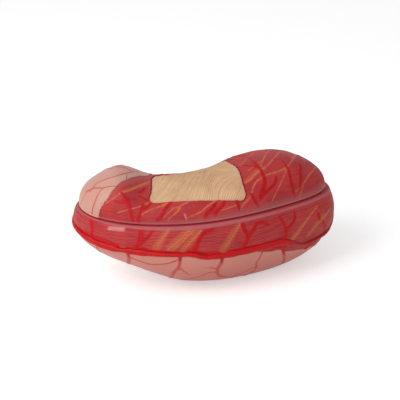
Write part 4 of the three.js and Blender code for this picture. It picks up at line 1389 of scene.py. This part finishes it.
class OBJECT_OT_stomach_front_shell(bpy.types.Operator):
    """Builds the front muscle shell with its window"""

    bl_idname = "object.stomach_front_shell"
    bl_label = "Front muscle shell"

    def execute(self, context):
        form, paint = context.scene.stomach_form, context.scene.stomach_paint
        piece = make_shell(FRONT, form)
        depth = (form.layer_step + form.window_depth) / MM
        combine(piece, window_solid("recess", (depth, None), 0, RECESS_RINGS))
        finish_shell(piece, FRONT, form, paint)
        return {"FINISHED"}


class OBJECT_OT_stomach_rear_shell(bpy.types.Operator):
    """Builds the rear muscle shell with the grooves of its arteries"""

    bl_idname = "object.stomach_rear_shell"
    bl_label = "Rear muscle shell"

    def execute(self, context):
        form, paint = context.scene.stomach_form, context.scene.stomach_paint
        piece = make_shell(REAR, form)
        for artery in (EPIPLOIC, GASTRIC):
            combine(piece, make_artery("groove", form, artery, GROOVE_SPARE))
        finish_shell(piece, REAR, form, paint)
        return {"FINISHED"}


class OBJECT_OT_stomach_linings(bpy.types.Operator):
    """Builds the folded mucosa linings of both halves"""

    bl_idname = "object.stomach_linings"
    bl_label = "Mucosa linings"

    def execute(self, context):
        form, paint = context.scene.stomach_form, context.scene.stomach_paint
        material = mucosa_finish(paint)
        for half in (REAR, FRONT):
            piece = make_lining(half, form)
            finish_piece(piece, f"{half.side}_mucosa_lining", half, [material], 50)
        return {"FINISHED"}


class OBJECT_OT_stomach_panel(bpy.types.Operator):
    """Builds the oblique muscle in the window"""

    bl_idname = "object.stomach_panel"
    bl_label = "Oblique muscle panel"

    def execute(self, context):
        form, paint = context.scene.stomach_form, context.scene.stomach_paint
        piece = make_panel("oblique_fibres", form)
        finish_piece(piece, "oblique_muscle_panel", FRONT, [oblique_finish(paint)], 50)
        return {"FINISHED"}


class OBJECT_OT_stomach_arteries(bpy.types.Operator):
    """Builds the two arteries of the rear half"""

    bl_idname = "object.stomach_arteries"
    bl_label = "Arteries"

    def execute(self, context):
        form, paint = context.scene.stomach_form, context.scene.stomach_paint
        material = artery_finish(paint)
        for artery in (EPIPLOIC, GASTRIC):
            piece = make_artery(artery.piece, form, artery)
            finish_piece(piece, artery.node, REAR, [material], 60)
        return {"FINISHED"}


class OBJECT_OT_stomach_fittings(bpy.types.Operator):
    """Builds the locating pins and the disc magnets"""

    bl_idname = "object.stomach_fittings"
    bl_label = "Pins and magnets"

    def execute(self, context):
        form, paint = context.scene.stomach_form, context.scene.stomach_paint
        steel = metal_finish("pin_steel", paint.steel, 0.28)
        nickel = metal_finish("magnet_nickel", paint.nickel, 0.18)
        edge = form.fitting_edge / MM
        for i in FITTINGS:
            pin = make_fitting(f"steel_pin_{i}", f"locating_pin_{i}", edge * 1.5)
            finish_piece(pin, f"locating_pin_{i}", REAR, [steel], 35)
            for half in (REAR, FRONT):
                magnet = make_fitting(f"{half.side}_disc_{i}", f"{half.side}_magnet_{i}", edge)
                finish_piece(magnet, f"{half.side}_magnet_{i}", half, [nickel], 35)
        return {"FINISHED"}


def soft_lamp(name, power, side, position, target):
    """A square soft lamp that looks at the target."""
    lamp = bpy.data.lights.new(name, "AREA")
    lamp.energy = power
    lamp.size = side
    holder = bpy.data.objects.new(name, lamp)
    holder.location = position
    holder.rotation_euler = (Vector(target) - Vector(position)).to_track_quat("-Z", "Y").to_euler()
    bpy.context.scene.collection.objects.link(holder)


class OBJECT_OT_stomach_stage(bpy.types.Operator):
    """Sets the floor, the light and the camera"""

    bl_idname = "object.stomach_stage"
    bl_label = "Stage"

    def execute(self, context):
        stage = context.scene.stomach_stage
        self.lay_floor(stage)
        self.set_light(context.scene, stage)
        self.set_camera(context.scene, stage)
        context.scene.view_settings.view_transform = "Standard"
        return {"FINISHED"}

    def lay_floor(self, stage):
        mesh = bpy.data.meshes.new("floor")
        side, drop = 4.0, 0.0003
        corners = [(-side, -side, -drop), (side, -side, -drop), (side, side, -drop), (-side, side, -drop)]
        mesh.from_pydata(corners, [], [(0, 1, 2, 3)])
        mesh.materials.append(floor_finish(stage.floor_lift))
        floor = bpy.data.objects.new("floor", mesh)
        bpy.context.scene.collection.objects.link(floor)

    def set_light(self, scene, stage):
        """An even white surround, which the camera sees as plain white, and two soft lamps."""
        surround = Finish(bpy.data.worlds.new("surround"))
        strength = surround.maths("MAXIMUM", surround.seen_plainly(), stage.daylight)
        background = surround.node("ShaderNodeBackground", {}, {"Strength": strength})
        surround.node("ShaderNodeOutputWorld", {}, {"Surface": background})
        scene.world = surround.owner
        middle = (0, 0, SEAM * MM)
        soft_lamp("key", stage.key, 1.0, (-1.0, -0.6, 1.2), middle)
        soft_lamp("fill", stage.fill, 0.8, (-0.4, -1.2, 0.4), middle)

    def set_camera(self, scene, stage):
        """Looks at the target, rolled, and moved in its own plane until the target falls on its pixel."""
        target = Vector((TARGET[0] * MM, TARGET[1] * MM, SEAM * MM))
        away = Vector((0, -math.cos(stage.elevation), math.sin(stage.elevation)))
        turn = (-away).to_track_quat("-Z", "Y") @ Quaternion((0, 0, 1), -stage.roll)
        lens = bpy.data.cameras.new("camera")
        lens.lens = stage.focal
        lens.sensor_width = 36
        lens.clip_end = 20
        pixel = lens.sensor_width / stage.focal * stage.distance / IMAGE_SIDE
        right = (TARGET_PIXEL[0] - IMAGE_SIDE / 2) * pixel
        up = (IMAGE_SIDE / 2 - TARGET_PIXEL[1]) * pixel
        camera = bpy.data.objects.new("camera", lens)
        camera.rotation_euler = turn.to_euler()
        camera.location = target + away * stage.distance - turn @ Vector((right, up, 0))
        scene.collection.objects.link(camera)
        scene.camera = camera


class VIEW3D_PT_stomach(bpy.types.Panel):
    """Lists the steps that build the stomach"""

    bl_label = "Stomach"
    bl_idname = "VIEW3D_PT_stomach"
    bl_space_type = "VIEW_3D"
    bl_region_type = "UI"
    bl_category = "Stomach"

    def draw(self, context):
        for operator in OPERATORS:
            self.layout.operator(operator.bl_idname)
        for key, group in GROUPS.items():
            column = self.layout.column()
            for name in group.__annotations__:
                column.prop(getattr(context.scene, key), name)


OPERATORS = (
    OBJECT_OT_stomach_stage,
    OBJECT_OT_stomach_rear_shell,
    OBJECT_OT_stomach_front_shell,
    OBJECT_OT_stomach_linings,
    OBJECT_OT_stomach_panel,
    OBJECT_OT_stomach_arteries,
    OBJECT_OT_stomach_fittings,
)
GROUPS = {"stomach_form": StomachForm, "stomach_paint": StomachPaint, "stomach_stage": StomachStage}
CLASSES = (*GROUPS.values(), *OPERATORS, VIEW3D_PT_stomach)


def register():
    for cls in CLASSES:
        bpy.utils.register_class(cls)
    for key, group in GROUPS.items():
        setattr(bpy.types.Scene, key, PointerProperty(type=group))


def unregister():
    for key in GROUPS:
        delattr(bpy.types.Scene, key)
    for cls in reversed(CLASSES):
        bpy.utils.unregister_class(cls)


def main():
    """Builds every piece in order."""
    register()
    bpy.ops.object.stomach_stage()
    bpy.ops.object.stomach_rear_shell()
    bpy.ops.object.stomach_front_shell()
    bpy.ops.object.stomach_linings()
    bpy.ops.object.stomach_panel()
    bpy.ops.object.stomach_arteries()
    bpy.ops.object.stomach_fittings()
    bpy.context.view_layer.update()


if __name__ == "__main__":
    main()
